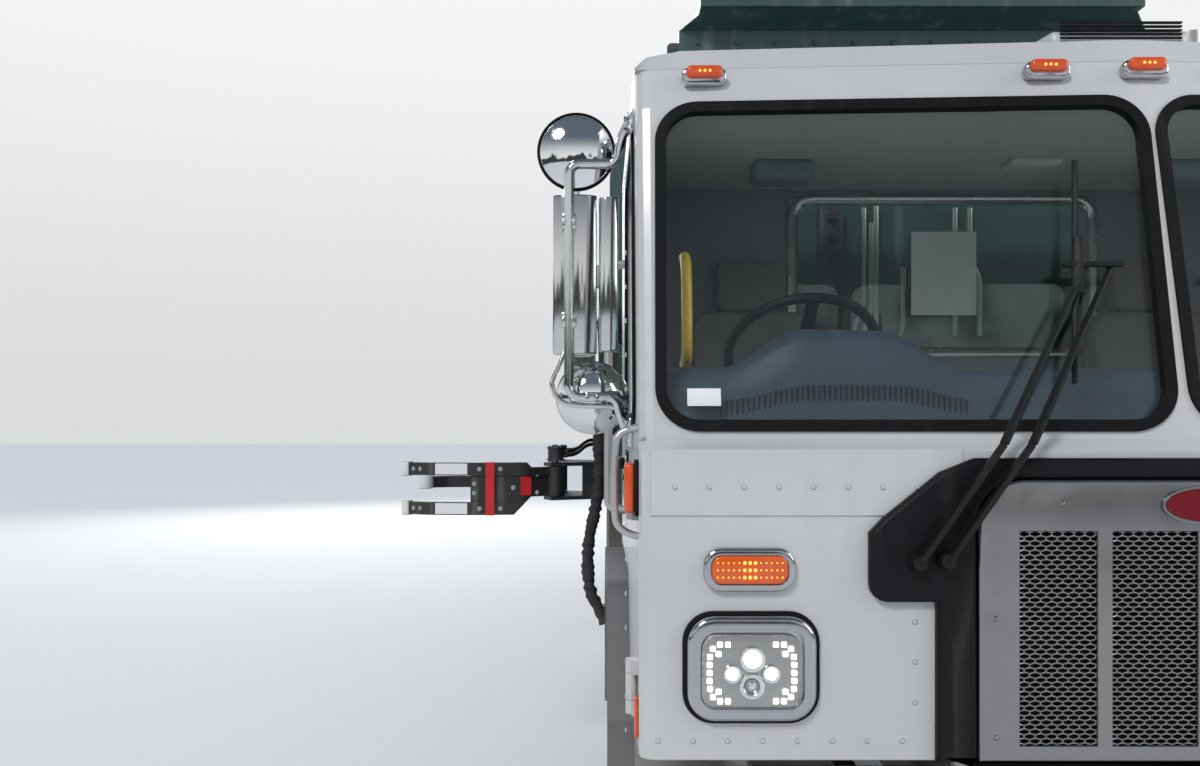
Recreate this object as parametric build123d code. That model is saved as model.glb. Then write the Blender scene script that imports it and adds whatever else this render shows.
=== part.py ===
from build123d import *
from math import atan2, cos, degrees, radians, sin, tan
import os

# A low cab forward refuse lorry with an automated side loading arm, in millimetres.
# It faces -Y: X = 0 is its centre plane, Y = 0 the face of its front panel, Z = 0 the ground.
# Its own right, the kerb side with the arm, is at -X. Solids are drawn there and moved at the end,
# so that the origin is on the ground under the middle of the whole machine.

RIGHT, LEFT = -1, 1
SIDES = (("right", RIGHT), ("left", LEFT))

nodes = {}


def block(x0, x1, y0, y1, z0, z1):
    """A block between two opposite corners."""
    size = Box(abs(x1 - x0), abs(y1 - y0), abs(z1 - z0))
    return Pos((x0 + x1) / 2, (y0 + y1) / 2, (z0 + z1) / 2) * size


def across(points, x0, x1):
    """A side outline of (y, z) points, drawn out across the lorry from x0 to x1."""
    outline = make_face(Polyline(*[(x0, y, z) for y, z in points], close=True))
    return extrude(outline, amount=x1 - x0, dir=(1, 0, 0))


def along(points, y0, y1):
    """A front outline of (x, z) points, drawn out along the lorry from y0 to y1."""
    outline = make_face(Polyline(*[(x, y0, z) for x, z in points], close=True))
    return extrude(outline, amount=y1 - y0, dir=(0, 1, 0))


def upward(points, z0, z1):
    """A plan outline of (x, y) points, drawn up from z0 to z1."""
    outline = make_face(Polyline(*[(x, y, z0) for x, y in points], close=True))
    return extrude(outline, amount=z1 - z0, dir=(0, 0, 1))


def rod(start, end, radius):
    """A round bar from one point to another."""
    start, end = Vector(*start), Vector(*end)
    seat = Plane(origin=start, z_dir=end - start)
    return extrude(seat * Circle(radius), amount=(end - start).length)


def tube(start, end, radius, wall):
    """A round tube from one point to another."""
    start, end = Vector(*start), Vector(*end)
    seat = Plane(origin=start, z_dir=end - start)
    ring = Circle(radius) - Circle(radius - wall)
    return extrude(seat * ring, amount=(end - start).length)


def bar(points, width, depth, corner):
    """A flat bar along (x, y) points in plan with rounded corners: width in plan, depth upwards."""
    line = FilletPolyline(*points, radius=corner)
    start = Vector(*points[0])
    ahead = Vector(*points[1]) - start
    section = Plane(origin=start, x_dir=(0, 0, 1), z_dir=ahead) * Rectangle(depth, width)
    return sweep(section, path=line)


def spun(points, x):
    """A ring about a wheel's axle through x, from (x, radius) points."""
    outline = make_face(Polyline(*[(x + px, 0, pr) for px, pr in points], close=True))
    return revolve(outline, axis=Axis.X)


def both(half):
    """A piece and its mirror image on the other side of the centre plane."""
    return half + mirror(half, about=Plane.YZ)


def solids_of(*pieces):
    """Several solids that share a node without touching, as one compound."""
    found = []
    for piece in pieces:
        found.extend(piece.solids())
    return Compound(children=found)


# Wheels: the tyres' size, the rims' and the places of the axles.
tyre_radius = 540
front_tyre_width = 300
rear_tyre_width = 280
rim_radius = 286
rim_wall = 12
rim_flange = 16
bead_width = 230
disc_wall = 14
disc_flat = 195
disc_cone = 60
hub_radius = 140
drum_radius = 206
drum_wall = 16
hand_hole_count = 10
hand_hole_radius = 26
hand_hole_circle = 228
front_axle_y = 1330
front_wheel_x = 1035
front_disc = 110
drive_axle_y = (6000, 7370)
body_half_width = 1220
twin_gap = 40
twin_inset = 5
outer_twin_x = body_half_width - twin_inset - rear_tyre_width / 2
inner_twin_x = outer_twin_x - rear_tyre_width - twin_gap
twin_disc = (outer_twin_x - inner_twin_x) / 2
running_gap = 0.05
spindle_radius = 40
axle_tube = 65

# Chassis frame: two channel rails with their flanges turned inwards.
rail_half = 430
rail_depth = 267
rail_flange = 85
rail_wall = 10
rail_top = 1020
rail_bottom = rail_top - rail_depth
rail_front = 100
rail_back = 9150

# Cab
cab_half = 1195
cab_wall = 40
cab_bottom = 1050
cab_back = 1610
waist = 1715
screen_foot_z = 1740
screen_head_z = 2530
header_z = 2640
roof_top = 2775
ceiling = roof_top - cab_wall
screen_rake = 11
screen_foot_y = 25
screen_sweep = 0.05
header_lean = 50
upper_floor = 1380
floor_wall = 40
arch_foot = (628, cab_bottom)
arch_top = (827, upper_floor - floor_wall)
tunnel_half = 450
tunnel_top = 1672
seam_gap = 6

# Front wall of the body behind the cab
hood_half, hood_wall = 956, 60
hood_y = 1900

# Cab tilt pivot
tilt_y = 120
tilt_z = 1000
tilt_pin = 20
tilt_lug_half = 45


def tyre(x, width):
    """A tyre about the X axis: beads on the rim, bulged walls and a crowned tread."""
    half = width / 2
    bead = bead_width / 2 - rim_wall
    tread_drop, shoulder = 6, 32
    points = [(-bead, rim_radius), (-bead, rim_radius + rim_flange), (-bead - 14, 340), (-half, 425),
              (-half + 8, tyre_radius - 42), (-half + shoulder, tyre_radius - tread_drop),
              (0, tyre_radius), (half - shoulder, tyre_radius - tread_drop),
              (half - 8, tyre_radius - 42), (half, 425), (bead + 14, 340),
              (bead, rim_radius + rim_flange), (bead, rim_radius)]
    return spun(points, x)


def rim(x, dish, toward):
    """A disc wheel: the barrel with its flanges and a dished disc with hand holes.

    The disc's outer face stands at x + dish, and toward is the side that it faces, 1 or -1.
    """
    half = bead_width / 2
    inside = rim_radius - rim_wall - 6
    barrel = [(-half, inside), (-half, rim_radius + rim_flange),
              (-half + rim_wall, rim_radius + rim_flange), (-half + rim_wall, rim_radius),
              (half - rim_wall, rim_radius), (half - rim_wall, rim_radius + rim_flange),
              (half, rim_radius + rim_flange), (half, inside)]
    cone = dish - toward * disc_cone
    back = dish - toward * disc_wall
    disc = [(dish, hub_radius), (dish, disc_flat), (cone, inside + 2),
            (cone - toward * disc_wall, inside + 2), (back, disc_flat - 6), (back, hub_radius)]
    wheel = spun(barrel, x) + spun(disc, x)
    cutter = Pos(x + dish, 0, 0) * Rot(0, 90, 0) * Cylinder(hand_hole_radius, 2.5 * disc_cone)
    for hole in range(hand_hole_count):
        turn = Rot(360 * (hole + 0.5) / hand_hole_count, 0, 0)
        wheel -= turn * Pos(0, 0, hand_hole_circle) * cutter
    return wheel


def at_axle(piece, y, side):
    """A piece drawn about the X axis for the left side, set on its axle and on its own side."""
    return Pos(0, y, tyre_radius) * Rot(0, 0, 0 if side == LEFT else 180) * piece


# Front wheels: tyre, and rim with the hub and the brake drum that turn with it.
front_disc_x = front_wheel_x + front_disc
front_drum_x = front_disc_x - disc_wall
spindle_end = front_disc_x + 5
front_hub = [(front_drum_x - 200, drum_radius - drum_wall), (front_drum_x - 200, drum_radius),
             (front_drum_x, drum_radius), (front_drum_x, hub_radius),
             (front_disc_x + 28, hub_radius - 4), (front_disc_x + 46, 96), (front_disc_x + 50, 0),
             (spindle_end, 0), (spindle_end, spindle_radius + running_gap),
             (front_drum_x - 40, spindle_radius + running_gap),
             (front_drum_x - 40, drum_radius - drum_wall)]
front_metal = rim(front_wheel_x, front_disc, LEFT) + spun(front_hub, 0)
for name, side in SIDES:
    nodes["front_tyre_" + name] = at_axle(tyre(front_wheel_x, front_tyre_width), front_axle_y, side)
    nodes["front_rim_" + name] = at_axle(front_metal, front_axle_y, side)

# Rear wheels: twin tyres, and two rims bolted back to back on one hub with its drum.
twin_face = outer_twin_x - twin_disc
twin_drum_x = twin_face - disc_wall
axle_end = twin_face + 65
twin_hub = [(twin_drum_x - 255, drum_radius - drum_wall), (twin_drum_x - 255, drum_radius),
            (twin_drum_x, drum_radius), (twin_drum_x, hub_radius), (twin_face + 90, hub_radius),
            (twin_face + 225, 115), (twin_face + 235, 98), (twin_face + 235, 0), (axle_end, 0),
            (axle_end, axle_tube + running_gap), (twin_drum_x - 45, axle_tube + running_gap),
            (twin_drum_x - 45, drum_radius - drum_wall)]
twin_metal = rim(outer_twin_x, -twin_disc, RIGHT) + rim(inner_twin_x, twin_disc, LEFT)
twin_metal += spun(twin_hub, 0)
twin_tyres = solids_of(tyre(inner_twin_x, rear_tyre_width), tyre(outer_twin_x, rear_tyre_width))
for axle, axle_y in zip(("middle", "rear"), drive_axle_y):
    for name, side in SIDES:
        nodes[f"{axle}_tyres_{name}"] = at_axle(twin_tyres, axle_y, side)
        nodes[f"{axle}_rims_{name}"] = at_axle(twin_metal, axle_y, side)

# Steering knuckles: a fork round the beam's eye, a spindle, a backing plate and a steering arm.
king_x = 860
king_pin = 25
eye_radius = 38
eye_half = 75
fork_gap = 0.5
fork_lug = 48
upright = (king_x + eye_radius + 6, king_x + eye_radius + 28)
plate_radius = drum_radius - drum_wall - 8
knuckle = rod((upright[0], 0, 0), (spindle_end - 4, 0, 0), spindle_radius)
knuckle += rod((upright[0] + 2, 0, 0), (upright[1] - 4, 0, 0), plate_radius)
knuckle += block(*upright, -62, 62, -eye_half - fork_lug, eye_half + fork_lug)
for low in (eye_half + fork_gap, -eye_half - fork_lug):
    high = low + fork_lug - fork_gap
    knuckle += block(king_x, upright[1], -40, 40, low, high)
    knuckle += rod((king_x, 0, low), (king_x, 0, high), 40)
knuckle += block(king_x - 34, king_x + 20, 20, 230, -eye_half - fork_lug, -eye_half - fork_lug + 34)
knuckle -= rod((king_x, 0, -300), (king_x, 0, 300), king_pin + running_gap)
for name, side in SIDES:
    own_knuckle = knuckle if side == LEFT else mirror(knuckle, about=Plane.YZ)
    nodes["knuckle_" + name] = at_axle(own_knuckle, front_axle_y, LEFT)

# Front axle: a dropped beam with an eye and a king pin at each end.
beam_drop = 60
beam_depth = 95
beam_half = 45
spring_x = rail_half - rail_flange / 2
spring_half = 40
beam_line = [(king_x, 44), (760, 44), (640, -beam_drop), (0, -beam_drop),
             (0, -beam_drop - beam_depth), (660, -beam_drop - beam_depth), (790, -44), (king_x, -44)]
beam = along(beam_line, -beam_half, beam_half) - rod((king_x, 0, -99), (king_x, 0, 99), eye_radius)
beam += rod((king_x, 0, -eye_half), (king_x, 0, eye_half), eye_radius)
beam += rod((king_x, 0, -eye_half - fork_lug), (king_x, 0, eye_half + fork_lug), king_pin)
beam = Pos(0, front_axle_y, tyre_radius) * both(beam)

# Drive axles: a tube with a swollen middle round the gears and a nose for the drive shaft.
casing = 185
casing_half = 120
drive_axle = rod((-axle_end + 4, 0, 0), (axle_end - 4, 0, 0), axle_tube)
drive_axle += rod((0, -casing_half, 0), (0, casing_half, 0), casing)
swell = [(0, 0), (0, casing - 30), (150, casing - 40), (430, axle_tube), (430, 0)]
drive_axle += both(spun(swell, 0))
nose = 330
drive_axle += Pos(0, -casing_half - 80, 0) * Rot(90, 0, 0) * Cone(135, 62, 170)
drive_axle += rod((0, -nose, 0), (0, -casing_half, 0), 48)
drive_axles = [Pos(0, axle_y, tyre_radius) * drive_axle for axle_y in drive_axle_y]

# Chassis frame
rail_outline = [(rail_half, rail_bottom), (rail_half, rail_top), (rail_half - rail_flange, rail_top),
                (rail_half - rail_flange, rail_top - rail_wall),
                (rail_half - rail_wall, rail_top - rail_wall),
                (rail_half - rail_wall, rail_bottom + rail_wall),
                (rail_half - rail_flange, rail_bottom + rail_wall),
                (rail_half - rail_flange, rail_bottom)]
frame = both(along(rail_outline, rail_front, rail_back))
cross_members = (340, 2300, 3600, 4900, 6685, 8300, rail_back - 60)
cross_half = 55
cross_wall = 12
for cross_y in cross_members:
    web = block(rail_wall - rail_half, rail_half - rail_wall, cross_y - cross_wall / 2,
                cross_y + cross_wall / 2, rail_bottom + rail_wall, rail_top - rail_wall)
    shelf = block(rail_wall - rail_half, rail_half - rail_wall, cross_y - cross_half, cross_y,
                  rail_bottom + rail_wall, rail_bottom + rail_wall + cross_wall)
    frame += web + shelf

# Bumper brackets and tow eyes at the front of the rails
bumper_top = 900
bumper_bottom = 560
bumper_face = -120
bumper_wall = 12
tow_eye_y = -160
tow_eye_z = 700
tow_bore = 20
tow_half = 15
tow_x = 390
horn = block(tow_x - 30, rail_half - 8, bumper_face + bumper_wall, rail_front, 620, 880)
tow_lug = across([(bumper_face + bumper_wall, 640), (bumper_face + bumper_wall, 760),
                  (tow_eye_y - 10, 745), (tow_eye_y - 38, 720), (tow_eye_y - 38, 680),
                  (tow_eye_y - 10, 655)], tow_x - tow_half, tow_x + tow_half)
tow_lug -= rod((tow_x - 50, tow_eye_y, tow_eye_z), (tow_x + 50, tow_eye_y, tow_eye_z), tow_bore)
frame += both(horn + tow_lug)

# Cab tilt pivots: a stub pin out of each rail, under the cab's floor
tilt_lug = (rail_half + 20, rail_half + 60)
tilt_stub = rod((rail_half - 5, tilt_y, tilt_z), (tilt_lug[1] + 14, tilt_y, tilt_z), tilt_pin)
tilt_stub += rod((rail_half - 5, tilt_y, tilt_z), (tilt_lug[0] - 0.5, tilt_y, tilt_z), 34)
tilt_plate = block(rail_half, rail_half + 8, rail_front, tilt_y + 60, rail_top - 120, rail_top + 12)
frame += both(tilt_stub + tilt_plate)

# Bumper: a folded steel channel with swept ends, slotted for the tow eyes
bumper_half = 1200
bumper_plan = [(-bumper_half, rail_front), (-bumper_half, bumper_face + 110),
               (-bumper_half + 150, bumper_face), (bumper_half - 150, bumper_face),
               (bumper_half, bumper_face + 110), (bumper_half, rail_front)]
hollow_plan = [(-bumper_half + bumper_wall, rail_front + 1),
               (-bumper_half + bumper_wall, bumper_face + 116),
               (-bumper_half + 156, bumper_face + bumper_wall),
               (bumper_half - 156, bumper_face + bumper_wall),
               (bumper_half - bumper_wall, bumper_face + 116),
               (bumper_half - bumper_wall, rail_front + 1)]
bumper = upward(bumper_plan, bumper_bottom, bumper_top)
bumper -= upward(hollow_plan, bumper_bottom + bumper_wall, bumper_top - bumper_wall)
slot = block(tow_x - tow_half - 4, tow_x + tow_half + 4, bumper_face - 20, bumper_face + 30,
             635, 765)
bumper -= both(slot)
nodes["bumper"] = bumper

# Step wells in front of the wheels: two treads between hanging plates, on a beam from the rail
step_in, step_out = 930, 1185
step_front, step_back = 130, 560
step_wall = 10
step_top = 990
tread_heights = (430, 730)
step_plate = block(step_in, step_out, step_front, step_front + step_wall, tread_heights[0], step_top)
steps = step_plate + Pos(0, step_back - step_front - step_wall, 0) * step_plate
steps += block(step_in, step_in + step_wall, step_front, step_back, tread_heights[0], step_top)
for tread in tread_heights:
    steps += block(step_in, step_out, step_front, step_back, tread, tread + 30)
for beam_y in (step_front + 40, step_back - 120):
    steps += block(rail_half + (8 if beam_y < tilt_y + 60 else 0), step_in, beam_y, beam_y + 80,
                   800, 860)
nodes["steps"] = both(steps)

# Front fenders: a bent arch of grey plastic over each wheel, on a bracket from the rail
fender_in, fender_out = 640, 1260
fender_wall = 22
fender_outline = [(600, 620), (625, 950), (865, 1300), (1795, 1300), (2035, 950), (2060, 620)]
fender_inner = [(600 + fender_wall, 600), (625 + fender_wall, 943), (865 + 11, 1300 - fender_wall),
                (1795 - 11, 1300 - fender_wall), (2035 - fender_wall, 943),
                (2060 - fender_wall, 600)]
fender = across(fender_outline, fender_in, fender_out)
fender = fillet(fender.edges().filter_by(Axis.X).group_by(Axis.Z)[-1], 110)
hollow = across(fender_inner, fender_in - 5, fender_out - 18)
hollow = fillet(hollow.edges().filter_by(Axis.X).group_by(Axis.Z)[-1], 96)
fender -= hollow
lip_hollow = across([(y, z - 26) if z > 620 else (y + (26 if y < 1330 else -26), z - 20)
                     for y, z in fender_inner], fender_out - 40, fender_out + 5)
fender -= lip_hollow
fender_bracket = block(rail_half, fender_in + 60, 0, 50, 900, 950)
for bracket_y in (fender_outline[1][0] + 8, fender_outline[4][0] - 58):
    fender += Pos(0, bracket_y, 0) * fender_bracket
nodes["fenders"] = both(fender)

# Leaf springs: packs of curved leaves, upright over the front axle and upside down at the rear.
def leaf_pack(centre_y, seat_z, half_length, rise, leaves, leaf_wall):
    """A pack of leaves that lie on each other: rise is how far the main leaf's ends stand up."""
    pack = None
    way = 1 if rise > 0 else -1
    for leaf in range(leaves):
        half = half_length * (1 - 0.17 * leaf)
        lift = rise * (half / half_length) ** 2
        low = seat_z - way * leaf * leaf_wall
        under = ThreePointArc((0, centre_y - half, low + lift), (0, centre_y, low),
                              (0, centre_y + half, low + lift))
        over = ThreePointArc((0, centre_y + half, low + lift + leaf_wall),
                             (0, centre_y, low + leaf_wall),
                             (0, centre_y - half, low + lift + leaf_wall))
        ends = [Line(under @ 1, over @ 0), Line(over @ 1, under @ 0)]
        outline = make_face(Wire([under, ends[0], over, ends[1]]))
        solid = Pos(spring_x - spring_half, 0, 0) * extrude(outline, 2 * spring_half, dir=(1, 0, 0))
        pack = solid if pack is None else pack + solid
    return pack


leaf_wall = 14
front_seat = tyre_radius - beam_drop + 4 * leaf_wall - leaf_wall
front_spring = leaf_pack(front_axle_y, front_seat, 720, 120, 4, leaf_wall)
shackle_out = (spring_x - 30, spring_x + 30)
for end in (-1, 1):
    eye_y = front_axle_y + end * 712
    front_spring += block(*shackle_out, eye_y - 30, eye_y + 30, front_seat + 110, rail_bottom)
trunnion_y = sum(drive_axle_y) / 2
rear_leaf, rear_leaves, rear_drop = 16, 5, 28
rear_seat = rail_bottom - 8 - rear_leaf * rear_leaves
rear_spring = leaf_pack(trunnion_y, rear_seat, 700, -rear_drop, rear_leaves, rear_leaf)
rear_spring += block(*shackle_out, trunnion_y - 70, trunnion_y + 70, rail_bottom - 20, rail_bottom)
saddle_z = tyre_radius + 88
for axle_y in drive_axle_y:
    rear_spring += block(*shackle_out, axle_y - 50, axle_y + 50, saddle_z, rear_seat - 10)
springs = solids_of(front_spring, rear_spring)
nodes["springs"] = solids_of(springs, mirror(springs, about=Plane.YZ))

# Engine, one plain block, with the radiator in front of it on the rails
engine_box = (-320, 320, 700, 1880, 640, 1640)
engine = chamfer(block(*engine_box).edges().filter_by(Axis.Y), 70)
for mount_y in (900, 1750):
    engine += block(-(rail_half - rail_wall), rail_half - rail_wall, mount_y, mount_y + 60, 840, 900)
nodes["engine"] = engine
radiator_half = 420
radiator_y = (120, 235)
radiator = block(-radiator_half, radiator_half, *radiator_y, rail_top + 20, 1640)
radiator += both(block(360, radiator_half, *radiator_y, rail_top, rail_top + 20))
radiator += rod((0, radiator_y[1], 1330), (0, radiator_y[1] + 60, 1330), 270)
nodes["radiator"] = radiator

# Drive shafts between the engine and the two drive axles
shaft_start = engine_box[3] + 0.3
shaft_end = drive_axle_y[0] - nose - 0.3
shaft_start_z = 700
yoke = 110
drive_shaft = tube((0, shaft_start + yoke, shaft_start_z), (0, shaft_end - yoke, tyre_radius), 52, 8)
drive_shaft += rod((0, shaft_start, shaft_start_z), (0, shaft_start + yoke + 20, shaft_start_z), 46)
drive_shaft += rod((0, shaft_end - yoke - 20, tyre_radius), (0, shaft_end, tyre_radius), 46)
link_shaft = rod((0, drive_axle_y[0] + casing - 30 + 0.3, tyre_radius),
                 (0, drive_axle_y[1] - nose - 0.3, tyre_radius), 46)
nodes["axles"] = solids_of(beam, *drive_axles, drive_shaft, link_shaft)

# Tanks on the rails behind the cab: fuel on the left, hydraulic oil on the right
tank_in = rail_half + 12
tank_out = 1080
fuel_box = (tank_in + 30, tank_out, 2250, 3450, 480, 1010)
oil_box = (-tank_out, -tank_in - 30, 3560, 4160, 520, 1010)
fuel_tank = fillet(block(*fuel_box).edges().filter_by(Axis.Y), 90)
oil_tank = fillet(block(*oil_box).edges().filter_by(Axis.Z), 40)
for strap_y in (2450, 3200):
    fuel_tank += block(rail_half + 0.3, tank_in + 60, strap_y, strap_y + 60, 620, 960)
for strap_y in (3640, 4030):
    oil_tank += block(-tank_in - 60, -rail_half - 0.3, strap_y, strap_y + 50, 640, 960)
fuel_tank += rod((tank_out - 120, 2400, 1000), (tank_out - 120, 2400, 1040), 48)
nodes["tanks"] = solids_of(fuel_tank, oil_tank)

# Exhaust: an upright muffler and stack behind the cab on the left, on a post from the rail
stack_x, stack_y = 1060, 1790
stack_radius = 62
muffler_radius = 125
stack = rod((stack_x, stack_y, 1330), (stack_x, stack_y, 2250), muffler_radius)
stack += rod((stack_x, stack_y, 2250), (stack_x, stack_y, 3330), stack_radius)
stack -= rod((stack_x, stack_y, 2300), (stack_x, stack_y, 3335), stack_radius - 4)
stack += rod((engine_box[1] + 0.3, stack_y, 1375), (stack_x, stack_y, 1375), 50)
for clamp_z in (1520, 2120):
    stack += block(stack_x - 126, hood_half, stack_y, hood_y, clamp_z, clamp_z + 60)
nodes["exhaust"] = stack

# Cab front: flat lower panel, raked screen in a shallow V and the header over it.


def screen_y(x, z):
    """Where the outer face of the screen panel stands at a place across and a height."""
    return screen_foot_y + screen_sweep * abs(x) + (z - screen_foot_z) * tan(radians(screen_rake))


def front_section(x, setback):
    """The front wall cut lengthwise at x, its face set back where the cab's corner is rounded."""
    foot, head = screen_y(x, screen_foot_z), screen_y(x, screen_head_z)
    line = [(0, cab_bottom), (0, waist), (foot, screen_foot_z), (head, screen_head_z),
            (head + header_lean, header_z)]
    outer = [(y + setback, z) for y, z in line]
    inner = [(y + cab_wall, z) for y, z in reversed(line)]
    return make_face(Polyline(*[(x, y, z) for y, z in outer + inner], close=True))


# Columns: how far in from the cab's side a section stands, and how far back its face is there.
front_stations = ((cab_half, 0), (34, 0), (17, 4.5), (5, 16), (0, 33))
front_half = loft([front_section(cab_half - inward, back) for inward, back in front_stations],
                  ruled=True)

# Screen openings: a pane's outline on its own sloping plane, from the pillar outwards.
pane_in, pane_out = 26, 1145
pane_foot, pane_head = 1769, 2529
pane_corner = 88
glass_wall = 8
lean = 1 / cos(radians(screen_rake))
screen_across = Vector(1, screen_sweep, 0)
screen_up = Vector(0, tan(radians(screen_rake)), 1)
pane_plane = Plane(origin=(0, screen_foot_y, screen_foot_z), x_dir=screen_across,
                   z_dir=screen_across.cross(screen_up))
pane_size = (pane_out - pane_in, (pane_head - pane_foot) * lean)
pane_centre = ((pane_in + pane_out) / 2, ((pane_foot + pane_head) / 2 - screen_foot_z) * lean)


def pane(grow, start, end):
    """A pane's outline grown by so much, from start to end along the way out of the screen."""
    outline = RectangleRounded(pane_size[0] + 2 * grow, pane_size[1] + 2 * grow, pane_corner + grow)
    return pane_plane * Pos(*pane_centre, start) * extrude(outline, end - start)


grille_half = 476
grille_foot, grille_head = 1055, 1655
vent_half, vent_foot, vent_head = 400, 1085, 1560
front_half -= pane(0, -3 * cab_wall, cab_wall)
front_half -= block(-1, vent_half, -10, cab_wall + 10, vent_foot, vent_head)
nodes["cab_front"] = both(front_half)
glass_seat = -cab_wall / 2
windscreen = both(pane(0, glass_seat - glass_wall / 2, glass_seat + glass_wall / 2))
seal_width = 13
seal = pane(seal_width, 0, 7) - pane(-seal_width, -30, 30)
seal_lip = pane(0, glass_seat + glass_wall / 2, 0.5) - pane(-seal_width, -30, 30)
nodes["screen_seals"] = both(seal + seal_lip)

# Cab roof: a shallow lid with a crown, its edge bent down all round.
roof_stations = ((0, 0), (1080, 12), (1165, 40), (cab_half, 92))
lid_stations = ((0, 0), (1070, 12), (cab_half - cab_wall, 58))


def roof_section(x, drop, inset):
    """The roof cut lengthwise at x: drop lowers its top there, inset is for its hollow."""
    front = screen_y(x, screen_head_z) + header_lean + inset
    rise = roof_top - drop - inset - header_z
    back = cab_back - inset
    foot = header_z - (1 if inset else 0)
    outline = [(front, foot), (front + 50, header_z + 0.52 * rise),
               (front + 180, header_z + 0.86 * rise), (front + 400, header_z + rise),
               (back, header_z + rise), (back, foot)]
    return make_face(Polyline(*[(x, y, z) for y, z in outline], close=True))


roof_half = loft([roof_section(x, drop, 0) for x, drop in roof_stations], ruled=True)
roof_half -= loft([roof_section(x, drop, cab_wall) for x, drop in lid_stations], ruled=True)
nodes["cab_roof"] = both(roof_half)

# Cab sides: the frame round the door, cut away over the wheel.
side_foot = screen_y(cab_half, screen_foot_z) + cab_wall
side_head = screen_y(cab_half, screen_head_z) + cab_wall
side_outline = [(cab_wall, cab_bottom), arch_foot, arch_top, (cab_back - cab_wall, arch_top[1]),
                (cab_back - cab_wall, header_z), (side_head + header_lean, header_z),
                (side_head, screen_head_z), (side_foot, screen_foot_z), (cab_wall, waist)]
door_foot, door_head, door_back = 1080, 2560, 1010
pillar = 18
door_outline = [(130, door_foot), (600, door_foot), (795, arch_top[1] + 32),
                (door_back, arch_top[1] + 32), (door_back, door_head),
                (side_head - 5 + pillar, door_head), (side_foot + pillar, screen_foot_z)]
window_outline = [(218, 1792), (950, 1792), (950, 2500), (348, 2500)]
window_corner = 55


def side_sheet(outline, x0, x1, grow=0, corner=0):
    """A side outline grown by so much, with rounded corners, as a sheet from x0 to x1."""
    face = make_face(Polyline(*[(y, z) for y, z in outline], close=True))
    if grow:
        face = offset(face, grow, kind=Kind.INTERSECTION)
    if corner:
        face = fillet(face.vertices(), corner)
    seat = Plane(origin=(x0, 0, 0), x_dir=(0, 1, 0), z_dir=(1, 0, 0))
    return seat * extrude(face, x1 - x0)


side = side_sheet(side_outline, cab_half - cab_wall, cab_half)
side -= side_sheet(door_outline, cab_half - 2 * cab_wall, cab_half + cab_wall, seam_gap, 24)
hinge_x, hinge_y = cab_half + 14, 118
hinge_heights = (1180, 1620)
hinge_pin, hinge_barrel, hinge_half = 7, 13, 30
for height in hinge_heights:
    for step in (-1, 1):
        near, far = height + step * (hinge_half + 0.5), height + step * (hinge_half + 32)
        side += rod((hinge_x, hinge_y, near), (hinge_x, hinge_y, far), hinge_barrel)
        side += block(cab_half - 4, hinge_x, hinge_y - 32, hinge_y, near, far)
    side += rod((hinge_x, hinge_y, height - hinge_half - 20),
                (hinge_x, hinge_y, height + hinge_half + 20), hinge_pin)
nodes["cab_sides"] = both(side)

# Cab rear wall with its window, open below where the engine reaches through.
rear_window = (-551, 551, 2060, 2610)
rear = block(-cab_half, cab_half, cab_back - cab_wall, cab_back, arch_top[1], header_z)
rear -= fillet(block(rear_window[0], rear_window[1], cab_back - 2 * cab_wall, cab_back + cab_wall,
                     rear_window[2], rear_window[3]).edges().filter_by(Axis.Y), 60)
rear -= block(-tunnel_half, tunnel_half, cab_back - 2 * cab_wall, cab_back + cab_wall, 1300,
              tunnel_top)
nodes["cab_rear"] = rear
rear_glass = fillet(block(rear_window[0], rear_window[1], cab_back - 24, cab_back - 18,
                          rear_window[2], rear_window[3]).edges().filter_by(Axis.Y), 60)
nodes["cab_glass"] = solids_of(windscreen, rear_glass)

# Cab floor: two foot wells, a raised floor over the wheels and the tunnel over the engine.
floor_in = tunnel_half + cab_wall
floor_outline = [(cab_wall, cab_bottom), arch_foot, arch_top, (cab_back - cab_wall, arch_top[1]),
                 (cab_back - cab_wall, upper_floor), (arch_top[0] - 25, upper_floor),
                 (arch_foot[0] - 25, cab_bottom + floor_wall), (cab_wall, cab_bottom + floor_wall)]
wall_outline = [(cab_wall, cab_bottom), arch_foot, arch_top, (cab_back - cab_wall, arch_top[1]),
                (cab_back - cab_wall, tunnel_top + cab_wall), (cab_wall, tunnel_top + cab_wall)]
floor_half = across(floor_outline, floor_in - 1, cab_half - cab_wall)
floor_half += across(wall_outline, tunnel_half, floor_in)
floor_half += block(-1, tunnel_half + 1, cab_wall, cab_back - cab_wall, tunnel_top,
                    tunnel_top + cab_wall)
tilt_ear = block(*tilt_lug, tilt_y - tilt_lug_half, tilt_y + tilt_lug_half, tilt_z,
                 cab_bottom + 10)
tilt_ear += rod((tilt_lug[0], tilt_y, tilt_z), (tilt_lug[1], tilt_y, tilt_z), tilt_lug_half)
floor_half += tilt_ear
floor_half -= rod((tilt_lug[0] - 9, tilt_y, tilt_z), (tilt_lug[1] + 9, tilt_y, tilt_z),
                  tilt_pin + running_gap)
nodes["cab_floor"] = both(floor_half)

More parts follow.
